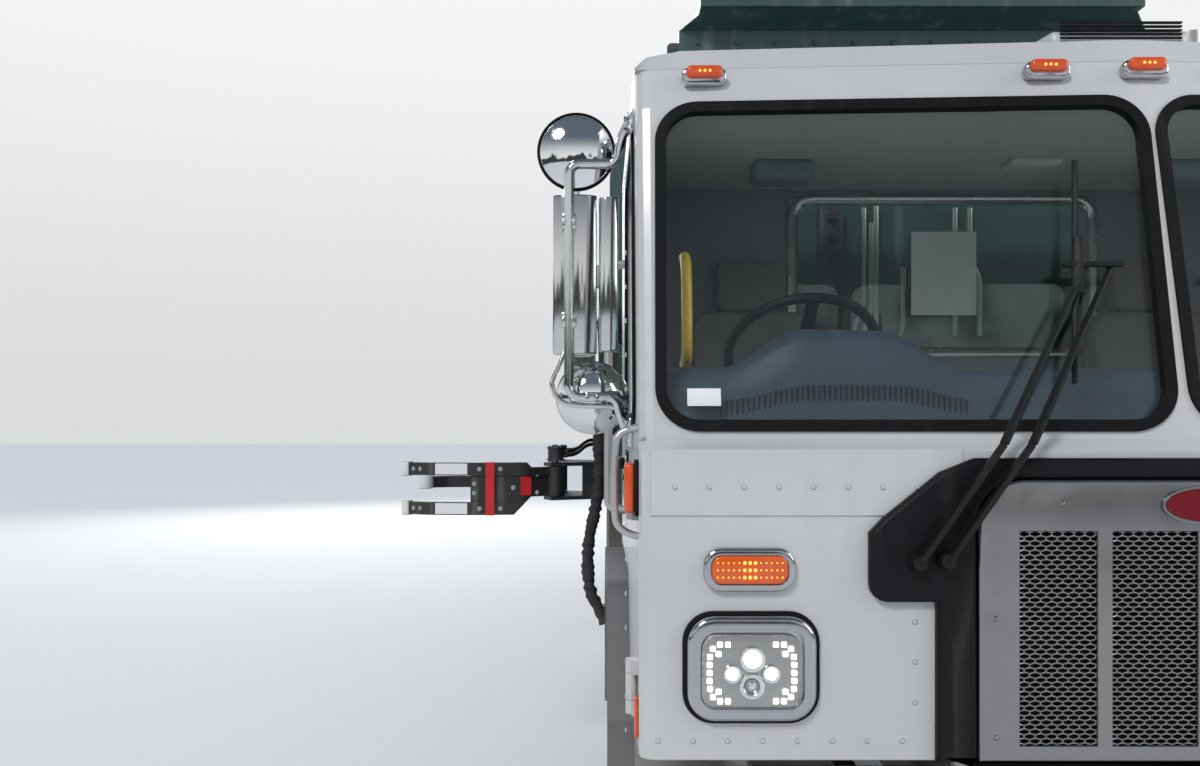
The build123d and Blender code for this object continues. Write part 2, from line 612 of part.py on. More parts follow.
# Black cowl moulding round the grille, and the stainless grille pan in it.
cowl_proud = 25
cowl_outline = [(0, 1700), (478, 1700), (553, 1670), (671, 1575), (704, 1540), (704, 1392),
                (560, 1392), (560, grille_foot - 4), (0, grille_foot - 4)]
cowl = along(cowl_outline, -cowl_proud, 0)
cowl = fillet([edge for edge in cowl.edges().filter_by(Axis.Y)
               if edge.center().X > 650 and edge.center().Z < 1400], 40)
grille_shape = RectangleRounded(2 * grille_half, grille_head - grille_foot + 200, 97)
grille_seat = Plane(origin=(0, 0, 0), x_dir=(1, 0, 0), z_dir=(0, -1, 0))
grille_trim = block(-cab_half, cab_half, -99, 99, grille_foot - 300, grille_foot)
grille_mid = (grille_head + grille_foot - 200) / 2


def grille_pad(inset, start, end):
    """The grille's outline, smaller by inset, from start to end in front of the panel."""
    outline = offset(grille_shape, -inset) if inset else grille_shape
    solid = grille_seat * Pos(0, grille_mid, start) * extrude(outline, end - start)
    return solid - Pos(0, 0, inset) * grille_trim


cowl -= grille_pad(0, -1, cowl_proud + 1)
nodes["cowl"] = both(cowl)
grille_proud = 31
grille_skin = 5
grille = grille_pad(0, 0, grille_proud) - grille_pad(12, -1, grille_proud - grille_skin)
vent_panels = ((-391, -224), (-194, -11), (11, 194), (224, 391))
vent_low, vent_high = 1089, 1546
vent_rows, vent_columns = 12, 3
slot_pitch_z = (vent_high - vent_low) / vent_rows
for vent_left, vent_right in vent_panels:
    slot_pitch_x = (vent_right - vent_left) / vent_columns
    for row in range(vent_rows):
        for column in range(vent_columns):
            slot = grille_seat * Pos(vent_left + slot_pitch_x * (column + 0.5),
                                     vent_low + slot_pitch_z * (row + 0.5), 20)
            grille -= slot * Box(slot_pitch_x - 8, slot_pitch_z - 14, 40)
badge_z, badge_size = 1601, (180, 82)
grille += grille_seat * Pos(0, badge_z, grille_proud - 1) * extrude(
    Ellipse(badge_size[0] / 2, badge_size[1] / 2), 9)
nodes["grille"] = grille

# Head lamps: a square bezel with a sunk lens and four cups behind it.
lamp_x, lamp_z = 956, 1251
lamp_bezel, lamp_lens = (277, 226), (200, 142)
lamp_proud, lamp_sink = 20, 12
lens_z = 1242
head_lamp = grille_seat * Pos(lamp_x, lamp_z, 0) * extrude(RectangleRounded(*lamp_bezel, 24),
                                                           lamp_proud)
head_lamp -= grille_seat * Pos(lamp_x, lens_z, lamp_proud - lamp_sink) * extrude(
    RectangleRounded(*lamp_lens, 14), lamp_sink + 1)
lamp_cups = ((1, 29, 27), (41, -2, 19), (-42, -2, 19), (0, -28, 27))
for cup_x, cup_z, cup_radius in lamp_cups:
    cup_seat = grille_seat * Pos(lamp_x + cup_x, lens_z + cup_z, lamp_proud - lamp_sink - 1)
    head_lamp += cup_seat * extrude(Circle(cup_radius) - Circle(cup_radius - 4), 7)
nodes["head_lamps"] = both(head_lamp)

# Amber lamps: turn signals in oval bezels, five markers over the screen, two on the cab's sides.
signal_x, signal_z = 960, 1461
signal_bezel, signal_lens = (197, 94), (164, 60)
signal_seat = grille_seat * Pos(signal_x, signal_z, 0)
signal = signal_seat * extrude(SlotOverall(*signal_bezel), 14)
signal += signal_seat * extrude(SlotOverall(*signal_lens), 26)
marker_z = 2612
marker_x = (0, 225, 1030)
marker_lean = degrees(atan2(header_lean, header_z - screen_head_z))
lamps = [signal, mirror(signal, about=Plane.YZ)]
for place in marker_x:
    for way in ((1,) if place == 0 else (-1, 1)):
        foot_y = screen_y(place, screen_head_z) + (marker_z - screen_head_z) * tan(radians(marker_lean))
        seat = Pos(way * place, foot_y, marker_z) * Rot(-marker_lean, 0, way * degrees(screen_sweep))
        lamps.append(seat * Pos(0, -13.3, 0) * fillet(Box(95, 26, 34).edges().filter_by(Axis.Y), 12))
side_marker = fillet(block(cab_half, cab_half + 24, 42, 82, 1577, 1688).faces().sort_by(Axis.X)[-1].edges(), 8)
lamps += [side_marker, mirror(side_marker, about=Plane.YZ)]
nodes["amber_lamps"] = solids_of(*lamps)

# Wipers: on each side two links from the cowl to a carrier with the blade in front of the pane.
wiper_lift = 26
wiper_links = (((-609, 1480), (-432, 1730), (-202, 2122)), ((-549, 1484), (-372, 1730), (-146, 2122)))


def wiper_point(x, z):
    """A point of the wiper: in front of the cowl below and in front of the screen above."""
    if z < screen_foot_z:
        return (x, -cowl_proud - wiper_lift, z)
    return (x, screen_y(x, z) - wiper_lift - 12, z)


wiper = None
for pivot, knee, top in wiper_links:
    path = [wiper_point(*pivot), wiper_point(*knee), wiper_point(*top)]
    link = rod(path[0], path[1], 6) + rod(path[1], path[2], 6) + Pos(*path[1]) * Sphere(6)
    link += rod((pivot[0], -cowl_proud, pivot[1]), (pivot[0], path[0][1] - 8, pivot[1]), 13)
    wiper = link if wiper is None else wiper + link
carrier = [wiper_point(x, 2128) for x in (-246, -128)]
wiper += rod(carrier[0], carrier[1], 8)
blade_x = -238
blade = [wiper_point(blade_x, z) for z in (1850, 2370)]
wiper += rod(blade[0], blade[1], 9)
nodes["wipers"] = both(wiper)

# Dashboard: one moulding over both foot wells with a hooded binnacle for each driver.
dash_half = cab_half - cab_wall - 1
dash_outline = [(128, 1500), (128, 1738), (172, 1895), (330, 1902), (448, 1830), (460, 1640),
                (390, 1500)]
dash = across(dash_outline, -dash_half, dash_half)
dash -= block(-floor_in - 0.3, floor_in + 0.3, 0, 900, 1400, tunnel_top + cab_wall + 0.3)
wheel_x = 699
hood = Pos(wheel_x, 0, 1895) * Rot(90, 0, 0) * extrude(Ellipse(250, 105), -210)
hood = Pos(0, 190, 0) * (hood & block(0, dash_half, -400, 400, 1880, 2100))
nodes["dashboard"] = dash + both(hood)

# Steering wheels, one for each driver, on columns out of the dashboard
wheel_centre = (720, 1984)
wheel_radius, rim_grip, wheel_tilt = 225, 14, 40
wheel_seat = Plane(origin=(wheel_x, *wheel_centre), x_dir=(1, 0, 0),
                   z_dir=(0, sin(radians(wheel_tilt)), cos(radians(wheel_tilt))))
steering = wheel_seat * Torus(wheel_radius - rim_grip, rim_grip)
steering += wheel_seat * Cylinder(62, 34)
for spoke in (0, 120, 240):
    steering += wheel_seat * Rot(0, 0, spoke - 90) * Pos((wheel_radius - rim_grip) / 2, 0, 0) * Box(
        wheel_radius - rim_grip, 34, 10)
column_length = 430
steering += wheel_seat * Pos(0, 0, -column_length / 2) * Cylinder(32, column_length)
steering -= across(dash_outline, -dash_half, dash_half)
nodes["steering_wheels"] = both(steering.solids().sort_by(SortBy.VOLUME)[-1])

# Seats: a base on the raised floor, a cushion and a back with a head rest
seat_x, seat_half = 725, 230
seat = block(seat_x - 190, seat_x + 190, 1000, 1400, upper_floor, 1490)
cushion = block(seat_x - seat_half, seat_x + seat_half, 930, 1440, 1490, 1610)
cushion = fillet(cushion.edges().filter_by(Axis.Z), 60)
back = across([(1350, 1600), (1440, 1560), (1540, 2190), (1450, 2200)], seat_x - seat_half + 10,
              seat_x + seat_half - 10)
rest = block(seat_x - 130, seat_x + 130, 1452, 1545, 2180, 2380)
nodes["seats"] = both(seat + cushion + back + fillet(rest.edges().filter_by(Axis.Y), 50))

# Doors: hung at their front edge, cut away over the wheel, with a window and its glass.
door = side_sheet(door_outline, cab_half - cab_wall, cab_half, 0, 18)
door -= side_sheet(window_outline, cab_half - 2 * cab_wall, cab_half + cab_wall, 0, window_corner)
door_glass = side_sheet(window_outline, cab_half - 24, cab_half - 18, 0, window_corner)
hinge_arm = 8
for height in hinge_heights:
    barrel = rod((hinge_x, hinge_y, height - hinge_half), (hinge_x, hinge_y, height + hinge_half),
                 hinge_barrel)
    strap = block(hinge_x - hinge_arm / 2, hinge_x + hinge_arm / 2, hinge_y, hinge_y + 90,
                  height - hinge_half, height + hinge_half)
    strap += block(cab_half, hinge_x, hinge_y + 40, hinge_y + 90, height - hinge_half,
                   height + hinge_half)
    door += barrel + strap
    door -= rod((hinge_x, hinge_y, height - hinge_half - 9), (hinge_x, hinge_y, height + hinge_half + 9),
                hinge_pin + running_gap)
handle_y, handle_z = (830, 960), 1660
door += block(cab_half, cab_half + 24, *handle_y, handle_z - 14, handle_z + 14)
for name, side in SIDES:
    nodes["door_" + name] = door if side == LEFT else mirror(door, about=Plane.YZ)
    nodes["door_glass_" + name] = door_glass if side == LEFT else mirror(door_glass, about=Plane.YZ)

# Mirrors: a tube loop off the door with two flat heads, a round convex one and a dome.
mirror_x, mirror_y = 1351, 470
mirror_top, mirror_foot = 2453, 1848
loop_radius = 12
loop = FilletPolyline((cab_half + 14, 352, 2530), (mirror_x - 120, mirror_y - 60, mirror_top + 30),
                      (mirror_x, mirror_y, mirror_top), (mirror_x, mirror_y, mirror_foot),
                      (cab_half + 14, mirror_y - 50, 1752), radius=45)
loop_seat = Plane(origin=loop @ 0, z_dir=loop % 0)
mirrors = sweep(loop_seat * Circle(loop_radius), path=loop)
mirrors += block(cab_half, cab_half + 24, 315, 392, 2505, 2552)
mirrors += block(cab_half, cab_half + 24, mirror_y - 95, mirror_y - 5, 1718, 1786)
flat_heads = ((mirror_x, 111, 1969, 2375, mirror_y - 58), (1262, 62, 1990, 2330, mirror_y - 52))
for head_x, width, low, high, front in flat_heads:
    head = block(head_x - width / 2, head_x + width / 2, front, front + 42, low, high)
    mirrors += fillet(head.edges().filter_by(Axis.Y), 18)
mirrors += block(mirror_x - 14, mirror_x + 14, mirror_y - 20, mirror_y, 2140, 2200)
mirrors += rod((mirror_x, mirror_y, 2170), (1262, mirror_y - 12, 2170), 9)
convex_z, convex_radius = 2498, 102
mirrors += rod((1343, mirror_y - 66, convex_z), (1343, mirror_y - 30, convex_z), convex_radius)
mirrors += rod((1343, mirror_y - 40, convex_z), (1343, mirror_y, mirror_top - 16), 9)
dome_x, dome_z, dome_radius = 1285, 1878, 84
dome = Pos(dome_x, mirror_y - 30, dome_z) * Rot(90, 0, 0) * Sphere(dome_radius, arc_size1=0)
mirrors += dome + rod((dome_x, mirror_y - 40, dome_z), (mirror_x, mirror_y, dome_z + 10), 9)
for name, side in SIDES:
    nodes["mirrors_" + name] = mirrors if side == LEFT else mirror(mirrors, about=Plane.YZ)

# Body sills on the rails, with bearers, cut where the arm's sleeves pass.
sill_top = 1220
sill_front, body_front, body_back = 2030, 3900, 9200
arm_y = 2950
reach_half = 60
sleeve_half = 70
sleeve_gap = 0.6
sleeve_z = 1120
reach_pitch = 330
sill = block(rail_half - rail_flange, rail_half, sill_front, rail_back, rail_top, sill_top)
bearer_half = body_half_width - 150
for bearer_y in (4100, 4900, 5350, 6685, 8050, 8700):
    sill += block(-1, bearer_half, bearer_y - 40, bearer_y + 40, sill_top - 90, sill_top)
for bearer_y in (2100, 3700):
    sill += block(-1, 940, bearer_y - 40, bearer_y + 40, sill_top - 90, sill_top)
sills = both(sill)
sleeve_in, sleeve_out = -940, 940
sleeves = None
for way in (-1, 1):
    mid = arm_y + way * reach_pitch
    shell = block(sleeve_in, sleeve_out, mid - sleeve_half, mid + sleeve_half,
                  sleeve_z - sleeve_half, sleeve_z + sleeve_half)
    sills -= shell
    shell -= block(sleeve_in - 9, sleeve_out + 9, mid - reach_half - sleeve_gap,
                   mid + reach_half + sleeve_gap, sleeve_z - reach_half - sleeve_gap,
                   sleeve_z + reach_half + sleeve_gap)
    sleeves = shell if sleeves is None else sleeves + shell
nodes["body_sills"] = sills + sleeves

# Hopper: an open trough of ribbed plate, low on the arm's side, with a sloping floor inside.
hopper_right, hopper_left = -940, 1200
hopper_wall = 45
hopper_low, hopper_high = 2600, 3050
hopper_front = 2030
hopper_outline = [(hopper_right, sill_top), (hopper_left, sill_top), (hopper_left, hopper_high),
                  (hopper_left - hopper_wall, hopper_high),
                  (hopper_left - hopper_wall, 2200), (hopper_left - 330, sill_top + 120),
                  (hopper_right + 120, sill_top + 120), (hopper_right + hopper_wall, 1600),
                  (hopper_right + hopper_wall, hopper_low), (hopper_right, hopper_low)]
hopper = along(hopper_outline, hopper_front, body_front)
end_outline = [(hopper_right, sill_top), (hopper_left, sill_top), (hopper_left, hopper_high),
               (hopper_right + 500, hopper_high), (hopper_right, hopper_low)]
hopper += along(end_outline, hopper_front, hopper_front + hopper_wall)
rib_wall, rib_proud = 70, 18
for rib_y in (hopper_front, 2560, 3100, 3640, body_front - rib_wall):
    hopper += block(hopper_left, hopper_left + rib_proud, rib_y, rib_y + rib_wall, sill_top + 60,
                    hopper_high)
hopper += block(hopper_left - 70, hopper_left + rib_proud, hopper_front, body_front,
                hopper_high - 70, hopper_high)
hopper += block(hopper_right - rib_proud, hopper_right + 60, hopper_front, body_front,
                hopper_low - 70, hopper_low)

# Front hood: the green wall above the cab with its overhanging, hipped lip and side cheeks.
hood_shoulder, lip_foot, lip_top = 3394, 3440, 3495
lip_y, lip_half = 1780, 851
hood_back = 2420
wall = block(-hood_half, hood_half, hood_y, hood_y + hood_wall, sill_top, hood_shoulder)
shoulder_face = make_face(Polyline((-hood_half, hood_y, hood_shoulder), (hood_half, hood_y, hood_shoulder),
                                   (hood_half, hood_back, hood_shoulder),
                                   (-hood_half, hood_back, hood_shoulder), close=True))
lip_face = make_face(Polyline((-lip_half, lip_y, lip_foot), (lip_half, lip_y, lip_foot),
                              (lip_half, hood_back, lip_foot), (-lip_half, hood_back, lip_foot),
                              close=True))
hood_top = loft([shoulder_face, lip_face], ruled=True)
hood_top += block(-lip_half - 30, lip_half + 30, lip_y - 10, hood_back, lip_foot, lip_top)
hood_top -= block(-lip_half + hood_wall, lip_half - hood_wall, hood_y + hood_wall, hood_back + 9,
                  hood_shoulder - 9, lip_top - 20)
cheek = across([(hood_y, sill_top), (hopper_front, sill_top), (hopper_front, hopper_high),
                (hood_back, hopper_high), (hood_back, hood_shoulder), (hood_y, hood_shoulder)],
               hood_half - 40, hood_half)
tab = block(hood_half, hood_half + 50, hood_y, hood_y + 24, 3240, 3345)
tab = fillet([edge for edge in tab.edges().filter_by(Axis.Y) if edge.center().X > hood_half + 20], 20)
nodes["front_hood"] = wall + hood_top + both(cheek + tab)

# Packer blade inside the hopper, across its trough
packer_y = 3050
packer = along([(hopper_right + 160, sill_top + 120.3), (hopper_left - 345, sill_top + 120.3),
                (hopper_left - 180, 1840), (hopper_right + 160, 1840)], packer_y, packer_y + 60)
packer += along([(hopper_right + 160, 1790), (hopper_left - 197, 1790), (hopper_left - 180, 1840),
                 (hopper_right + 160, 1840)], hopper_front + hopper_wall + 0.3, packer_y + 60)
nodes["hopper"] = solids_of(hopper, packer)

# Body shell: a tall ribbed tunnel, rounded above and chamfered below, open to hopper and tailgate.
body_low, body_top = sill_top, 3690
shell_wall = 50
crown_radius, chine = 400, 160
body_floor = 60


def body_outline(inset, floor):
    """The body's front outline, drawn in by inset all round and standing on floor."""
    half = body_half_width - inset
    top = body_top - inset
    outline = make_face(Polyline((-half, 0, floor + chine), (-half + chine, 0, floor),
                                 (half - chine, 0, floor), (half, 0, floor + chine), (half, 0, top),
                                 (-half, 0, top), close=True))
    tops = [vertex for vertex in outline.vertices() if vertex.Z > top - 1]
    return fillet(tops, crown_radius - inset)


def body_tube(inset, floor, y0, y1):
    """The body's outline drawn out along the lorry."""
    return Pos(0, y0, 0) * extrude(body_outline(inset, floor), amount=y1 - y0, dir=(0, 1, 0))


rib_depth = 28
shell = body_tube(rib_depth, body_low, body_front, body_back)
rib_count, body_rib = 8, 80
rib_pitch = (body_back - body_front - body_rib) / (rib_count - 1)
for rib in range(rib_count):
    rib_start = body_front + rib * rib_pitch
    shell += body_tube(0, body_low, rib_start, rib_start + body_rib)
shell -= body_tube(rib_depth + shell_wall, body_low + body_floor, body_front + 60, body_back + 9)
shell -= block(hopper_right + 60, hopper_left - 60, body_front - 9, body_front + 99,
               sill_top + 180, 2560)
nodes["body_shell"] = shell

# Tailgate: a deep ribbed door hung from two lugs over the body's roof.
gate_gap = 6
gate_front, gate_back = body_back + gate_gap, 9760
gate_hinge = (gate_front + 10, body_top + 62)
gate_wall = 50
gate_low = 1130
gate_lug, gate_lug_wall, gate_pin = 640, 40, 25
gate_side = [(gate_front, gate_low), (gate_front + 330, gate_low + 40), (gate_back, 1750),
             (gate_back, 3100), (gate_front + 330, body_top - 30), (gate_front, body_top)]
gate = across(gate_side, -body_half_width, body_half_width)
envelope = body_tube(0, gate_low - 260, gate_front, gate_back + 99)
gate = gate & envelope
gate_inner = [(gate_front - 9, gate_low + gate_wall), (gate_front + 310, gate_low + 86),
              (gate_back - gate_wall, 1770), (gate_back - gate_wall, 3080),
              (gate_front + 310, body_top - 86), (gate_front - 9, body_top - gate_wall)]
gate -= across(gate_inner, -body_half_width + 60, body_half_width - 60) & body_tube(
    60, gate_low - 200, gate_front - 9, gate_back)
for rib_x in (-700, 0, 700):
    gate += block(rib_x - 40, rib_x + 40, gate_back - 2, gate_back + 22, 1800, 3050)
for rib_z in (1800, 2400, 3000):
    gate += block(-1180, 1180, gate_back - 2, gate_back + 22, rib_z, rib_z + 60)
gate_ear = across([(gate_front + 2, body_top - 40), (gate_front + 120, body_top - 60),
                   (gate_hinge[0] + 40, gate_hinge[1] + 10), (gate_hinge[0] - 8, gate_hinge[1] + 10),
                   (gate_front + 2, body_top + 4)], gate_lug - gate_lug_wall / 2,
                  gate_lug + gate_lug_wall / 2)
gate_ear += rod((gate_lug - gate_lug_wall / 2, *gate_hinge), (gate_lug + gate_lug_wall / 2, *gate_hinge),
                46)
gate += both(gate_ear)
gate_bore = rod((gate_lug - 99, *gate_hinge), (gate_lug + 99, *gate_hinge), gate_pin + running_gap)
gate -= both(gate_bore)
nodes["tailgate"] = gate
hanger = None
for way in (-1, 1):
    start = gate_lug + way * (gate_lug_wall / 2 + 1)
    plate = rod((start, *gate_hinge), (start + way * 26, *gate_hinge), 46)
    x0, x1 = sorted((start, start + way * 26))
    plate += across([(body_back - 230, body_top - 4), (body_back - 4, body_top - 4),
                     (gate_hinge[0] + 5, gate_hinge[1] - 44), (gate_hinge[0] - 20, gate_hinge[1] + 40),
                     (body_back - 230, body_top + 30)], x0, x1)
    hanger = plate if hanger is None else hanger + plate
hanger += rod((gate_lug - 46, *gate_hinge), (gate_lug + 46, *gate_hinge), gate_pin)
nodes["body_shell"] += both(hanger)

# Rear bar across the rails with three round lamps on each side
rear_bar = block(-body_half_width + 40, body_half_width - 40, rail_back, rail_back + 60, 760, 900)
tail_lamps = []
for way in (-1, 1):
    for lamp in range(3):
        centre = way * (1120 - 115 * lamp)
        tail_lamps.append(rod((centre, rail_back + 60, 830), (centre, rail_back + 78, 830), 48))
nodes["frame"] = frame + rear_bar
nodes["tail_lamps"] = solids_of(*tail_lamps)

# Mud flaps: in front of and behind the rear wheels, hung from the sills
flap_in, flap_out = 620, 1210
flap_places = (drive_axle_y[0] - 640, drive_axle_y[1] + 640)
flaps = None
for flap_y in flap_places:
    flap = block(flap_in, flap_out, flap_y - 6, flap_y + 6, 330, sill_top - 90)
    flap += block(rail_half, flap_out, flap_y - 20, flap_y + 20, sill_top - 130, sill_top - 92)
    flaps = flap if flaps is None else flaps + flap
nodes["mud_flaps"] = both(flaps)

# Side arm. Mast: two channel posts on the reach tubes, which slide out of the sleeves.
mast_face, mast_back = -1160, -1000
post_in, post_out = 170, 235
mast_low, mast_high = 850, 2450
reach_end = 900
post_wall = 14
mast = None
for way in (-1, 1):
    y0, y1 = sorted((arm_y + way * post_in, arm_y + way * post_out))
    post = block(mast_face, mast_back, y0, y1, mast_low, mast_high)
    groove = sorted((arm_y + way * (post_in - 1), arm_y + way * (post_out - post_wall)))
    post -= block(mast_face + 20, mast_back - 20, *groove, mast_low - 1, mast_high + 1)
    mid = arm_y + way * reach_pitch
    reach = block(mast_back - 60, reach_end, mid - reach_half, mid + reach_half,
                  sleeve_z - reach_half, sleeve_z + reach_half)
    y0, y1 = sorted((arm_y + way * post_out, arm_y + way * (reach_pitch + reach_half)))
    foot = block(mast_back - 60, mast_back, y0, y1, sleeve_z - 130, sleeve_z + 130)
    piece = post + reach + foot
    mast = piece if mast is None else mast + piece
for low in (mast_low, mast_high - 40):
    mast += block(mast_back - 30, mast_back + 8, arm_y - post_out, arm_y + post_out, low, low + 40)
nodes["mast"] = mast

# Lift carriage: a plate with shoes that run in the posts, and two ears for the swing arm's pin
pivot_x, pivot_z = -1240, 2300
shoe_gap = 0.5
carriage_low, carriage_high = 2060, 2400
carriage = block(mast_face + 24, mast_back - 24, arm_y - post_in + 8, arm_y + post_in - 8,
                 carriage_low, carriage_high)
for low in (carriage_low, carriage_high - 90):
    carriage += block(mast_face + 20 + shoe_gap, mast_back - 20 - shoe_gap,
                      arm_y - post_out + post_wall + shoe_gap, arm_y + post_out - post_wall - shoe_gap,
                      low, low + 90)
ear_in, ear_wall = 70, 24
swing_pin = 26
for way in (-1, 1):
    y0, y1 = sorted((arm_y + way * ear_in, arm_y + way * (ear_in + ear_wall)))
    ear = along([(mast_face + 30, pivot_z - 120), (pivot_x, pivot_z - 48), (pivot_x, pivot_z + 48),
                 (mast_face + 30, pivot_z + 90)], y0, y1)
    carriage += ear + rod((pivot_x, y0, pivot_z), (pivot_x, y1, pivot_z), 48)
swing_in, swing_wall = 100, 20
carriage += rod((pivot_x, arm_y - swing_in - swing_wall, pivot_z),
                (pivot_x, arm_y + swing_in + swing_wall, pivot_z), swing_pin)
nodes["lift_carriage"] = carriage

# Swing arm: two hanging plates from the carriage's pin to the gripper head
head_low, head_high = 1415, 1600
finger_pin, finger_boss = 22, 44
finger_x, finger_y = -1500, 215
swing = None
for way in (-1, 1):
    y0, y1 = sorted((arm_y + way * swing_in, arm_y + way * (swing_in + swing_wall)))
    plate = along([(pivot_x - 40, head_low), (pivot_x + 40, head_low), (pivot_x + 46, pivot_z - 200),
                   (pivot_x + 54, pivot_z), (pivot_x - 54, pivot_z), (pivot_x - 46, pivot_z - 200)],
                  y0, y1)
    plate += rod((pivot_x, y0, pivot_z), (pivot_x, y1, pivot_z), 56)
    swing = plate if swing is None else swing + plate
swing += rod((pivot_x, arm_y - swing_in, pivot_z - 330), (pivot_x, arm_y + swing_in, pivot_z - 330), 30)
swing += block(-1370, pivot_x + 30, arm_y - swing_in - 4, arm_y + swing_in + 4, head_low, head_high)
head_plates = ((head_low, head_low + 18), (head_high - 18, head_high))
for low, high in head_plates:
    head_plan = [(pivot_x - 20, arm_y - 150), (finger_x - 20, arm_y - finger_y - 50),
                 (finger_x - 60, arm_y - finger_y + 30), (finger_x + 10, arm_y - 100),
                 (finger_x + 10, arm_y + 100), (finger_x - 60, arm_y + finger_y - 30),
                 (finger_x - 20, arm_y + finger_y + 50), (pivot_x - 20, arm_y + 150)]
    swing += upward(head_plan, low, high)
for way in (-1, 1):
    pin_y = arm_y + way * finger_y
    swing += rod((finger_x, pin_y, head_low), (finger_x, pin_y, head_high), finger_pin)
swing -= rod((pivot_x, arm_y - 200, pivot_z), (pivot_x, arm_y + 200, pivot_z),
             swing_pin + running_gap)
nodes["swing_arm"] = swing

# Grippers: curved fingers on the head's pins. The near one has two, joined by a web plate that
# narrows to its boss, and the far one has a single finger between them.
finger_wall = 36
finger_tip = -2225
finger_line = [(finger_x, 0), (-1640, 88), (-1880, 118), (-2120, 96), (finger_tip, 40)]
finger_gap = 3
near_levels, near_roller = ((1350, 1412), (1541, 1603)), 26
far_levels, far_roller = ((1447, 1509),), 38
web_wall, web_end = 14, -1905
web_neck, web_shoulder = -1615, -1705


def gripper(levels, way, roller_radius):
    """A gripper: its boss round the pin, a web, and a curved finger with a roller at each level."""
    line = [(x, arm_y + way * (finger_y + y)) for x, y in finger_line]
    low, high = head_plates[0][1] + finger_gap, head_plates[1][0] - finger_gap
    foot, top = levels[0][0], levels[-1][1]
    boss_y = arm_y + way * finger_y
    fingers = None
    for level_low, level_high in levels:
        finger = bar([(x, y, (level_low + level_high) / 2) for x, y in line], finger_wall,
                     level_high - level_low, 90)
        fingers = finger if fingers is None else fingers + finger
    web = bar([(x, y, (foot + top) / 2) for x, y in line], web_wall, top - foot, 90)
    fingers += web - block(finger_tip - 99, web_end, arm_y - 999, arm_y + 999, foot - 9, top + 9)
    room = [(finger_x + 99, low), (finger_x + 99, high), (web_neck, high), (web_neck - 30, top + 9),
            (finger_tip - 99, top + 9), (finger_tip - 99, foot - 9), (web_shoulder, foot - 9),
            (web_neck, low)]
    piece = fingers & along(room, arm_y - 999, arm_y + 999)
    piece += rod((finger_x, boss_y, low), (finger_x, boss_y, high), finger_boss)
    for level_low, level_high in levels:
        piece += rod((finger_tip, line[-1][1], level_low - 4), (finger_tip, line[-1][1], level_high + 4),
                     roller_radius)
    return piece - rod((finger_x, boss_y, low - 9), (finger_x, boss_y, high + 9),
                       finger_pin + running_gap)


nodes["gripper_near"] = gripper(near_levels, -1, near_roller)
nodes["gripper_far"] = gripper(far_levels, 1, far_roller)

# Hose sleeve: a bundle of hoses in a braided sleeve, clamped to the mast at both ends
hose_radius = 32
hose_y = arm_y - post_out - 90
hose_route = ((-1285, 1830), (-1285, 1440), (-1335, 1230), (-1335, 970), (-1250, 830))
hose_line = FilletPolyline(*[(x, hose_y, z) for x, z in hose_route], radius=150)
hose_seat = Plane(origin=hose_line @ 0, z_dir=hose_line % 0)
nodes["hose_sleeve"] = sweep(hose_seat * Circle(hose_radius), path=hose_line)
clamp_half = 30
top_clamp = block(-1285 - 50, mast_face, hose_y - 46, arm_y - post_in, 1780, 1840)
top_clamp -= rod((-1285, hose_y, 1700), (-1285, hose_y, 1900), hose_radius)
foot_clamp = block(-1300, mast_face + 4, hose_y + hose_radius, arm_y - post_out + 20, 850, 900)
nodes["mast"] += top_clamp + foot_clamp

# Move everything so that the origin is on the ground under the middle of the whole machine.
whole = Compound(children=[solid for piece in nodes.values() for solid in piece.solids()])
extent = whole.bounding_box()
shift = Vector(-(extent.min.X + extent.max.X) / 2, -(extent.min.Y + extent.max.Y) / 2, -extent.min.Z)
os.makedirs("parts", exist_ok=True)
for node, piece in nodes.items():
    export_step(Pos(shift) * piece, f"parts/{node}.step")
print("origin shift", round(shift.X, 3), round(shift.Y, 3), round(shift.Z, 3))
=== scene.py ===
import bmesh
import bpy
from math import cos, hypot, pi, radians, sin
from mathutils import Matrix, Vector


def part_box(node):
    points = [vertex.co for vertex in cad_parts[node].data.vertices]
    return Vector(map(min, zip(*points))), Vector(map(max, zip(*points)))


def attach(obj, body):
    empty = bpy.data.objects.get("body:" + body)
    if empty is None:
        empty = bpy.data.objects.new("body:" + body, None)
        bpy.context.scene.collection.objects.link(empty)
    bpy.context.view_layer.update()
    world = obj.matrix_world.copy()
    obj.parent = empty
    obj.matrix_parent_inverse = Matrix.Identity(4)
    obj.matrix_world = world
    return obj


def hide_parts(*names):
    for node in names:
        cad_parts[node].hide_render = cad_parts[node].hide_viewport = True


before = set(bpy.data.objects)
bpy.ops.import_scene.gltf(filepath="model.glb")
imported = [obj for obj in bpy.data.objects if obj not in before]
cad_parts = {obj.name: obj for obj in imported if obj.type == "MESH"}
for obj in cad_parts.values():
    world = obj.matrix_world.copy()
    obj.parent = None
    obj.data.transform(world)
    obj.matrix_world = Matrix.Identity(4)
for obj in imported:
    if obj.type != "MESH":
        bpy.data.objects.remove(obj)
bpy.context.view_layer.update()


# The place: a pale floor and sky, a soft sun over the truck's right shoulder and two wide
# panels of fill. The camera stands in the street just off the front corner, at chest height.
def place(tree, kind, settings=None, feeds=None):
    """A node of that kind in the tree, its sockets fed with values or with other nodes' sockets."""
    node = tree.nodes.new("ShaderNode" + kind)
    for name, value in (settings or {}).items():
        setattr(node, name, value)
    for socket, value in (feeds or {}).items():
        if isinstance(value, bpy.types.NodeSocket):
            tree.links.new(value, node.inputs[socket])
        else:
            node.inputs[socket].default_value = value
    return node


def math(tree, operation, first, second=0.0, clamp=False):
    """The result of one sum on two values."""
    settings = {"operation": operation, "use_clamp": clamp}
    return place(tree, "Math", settings, {0: first, 1: second}).outputs[0]


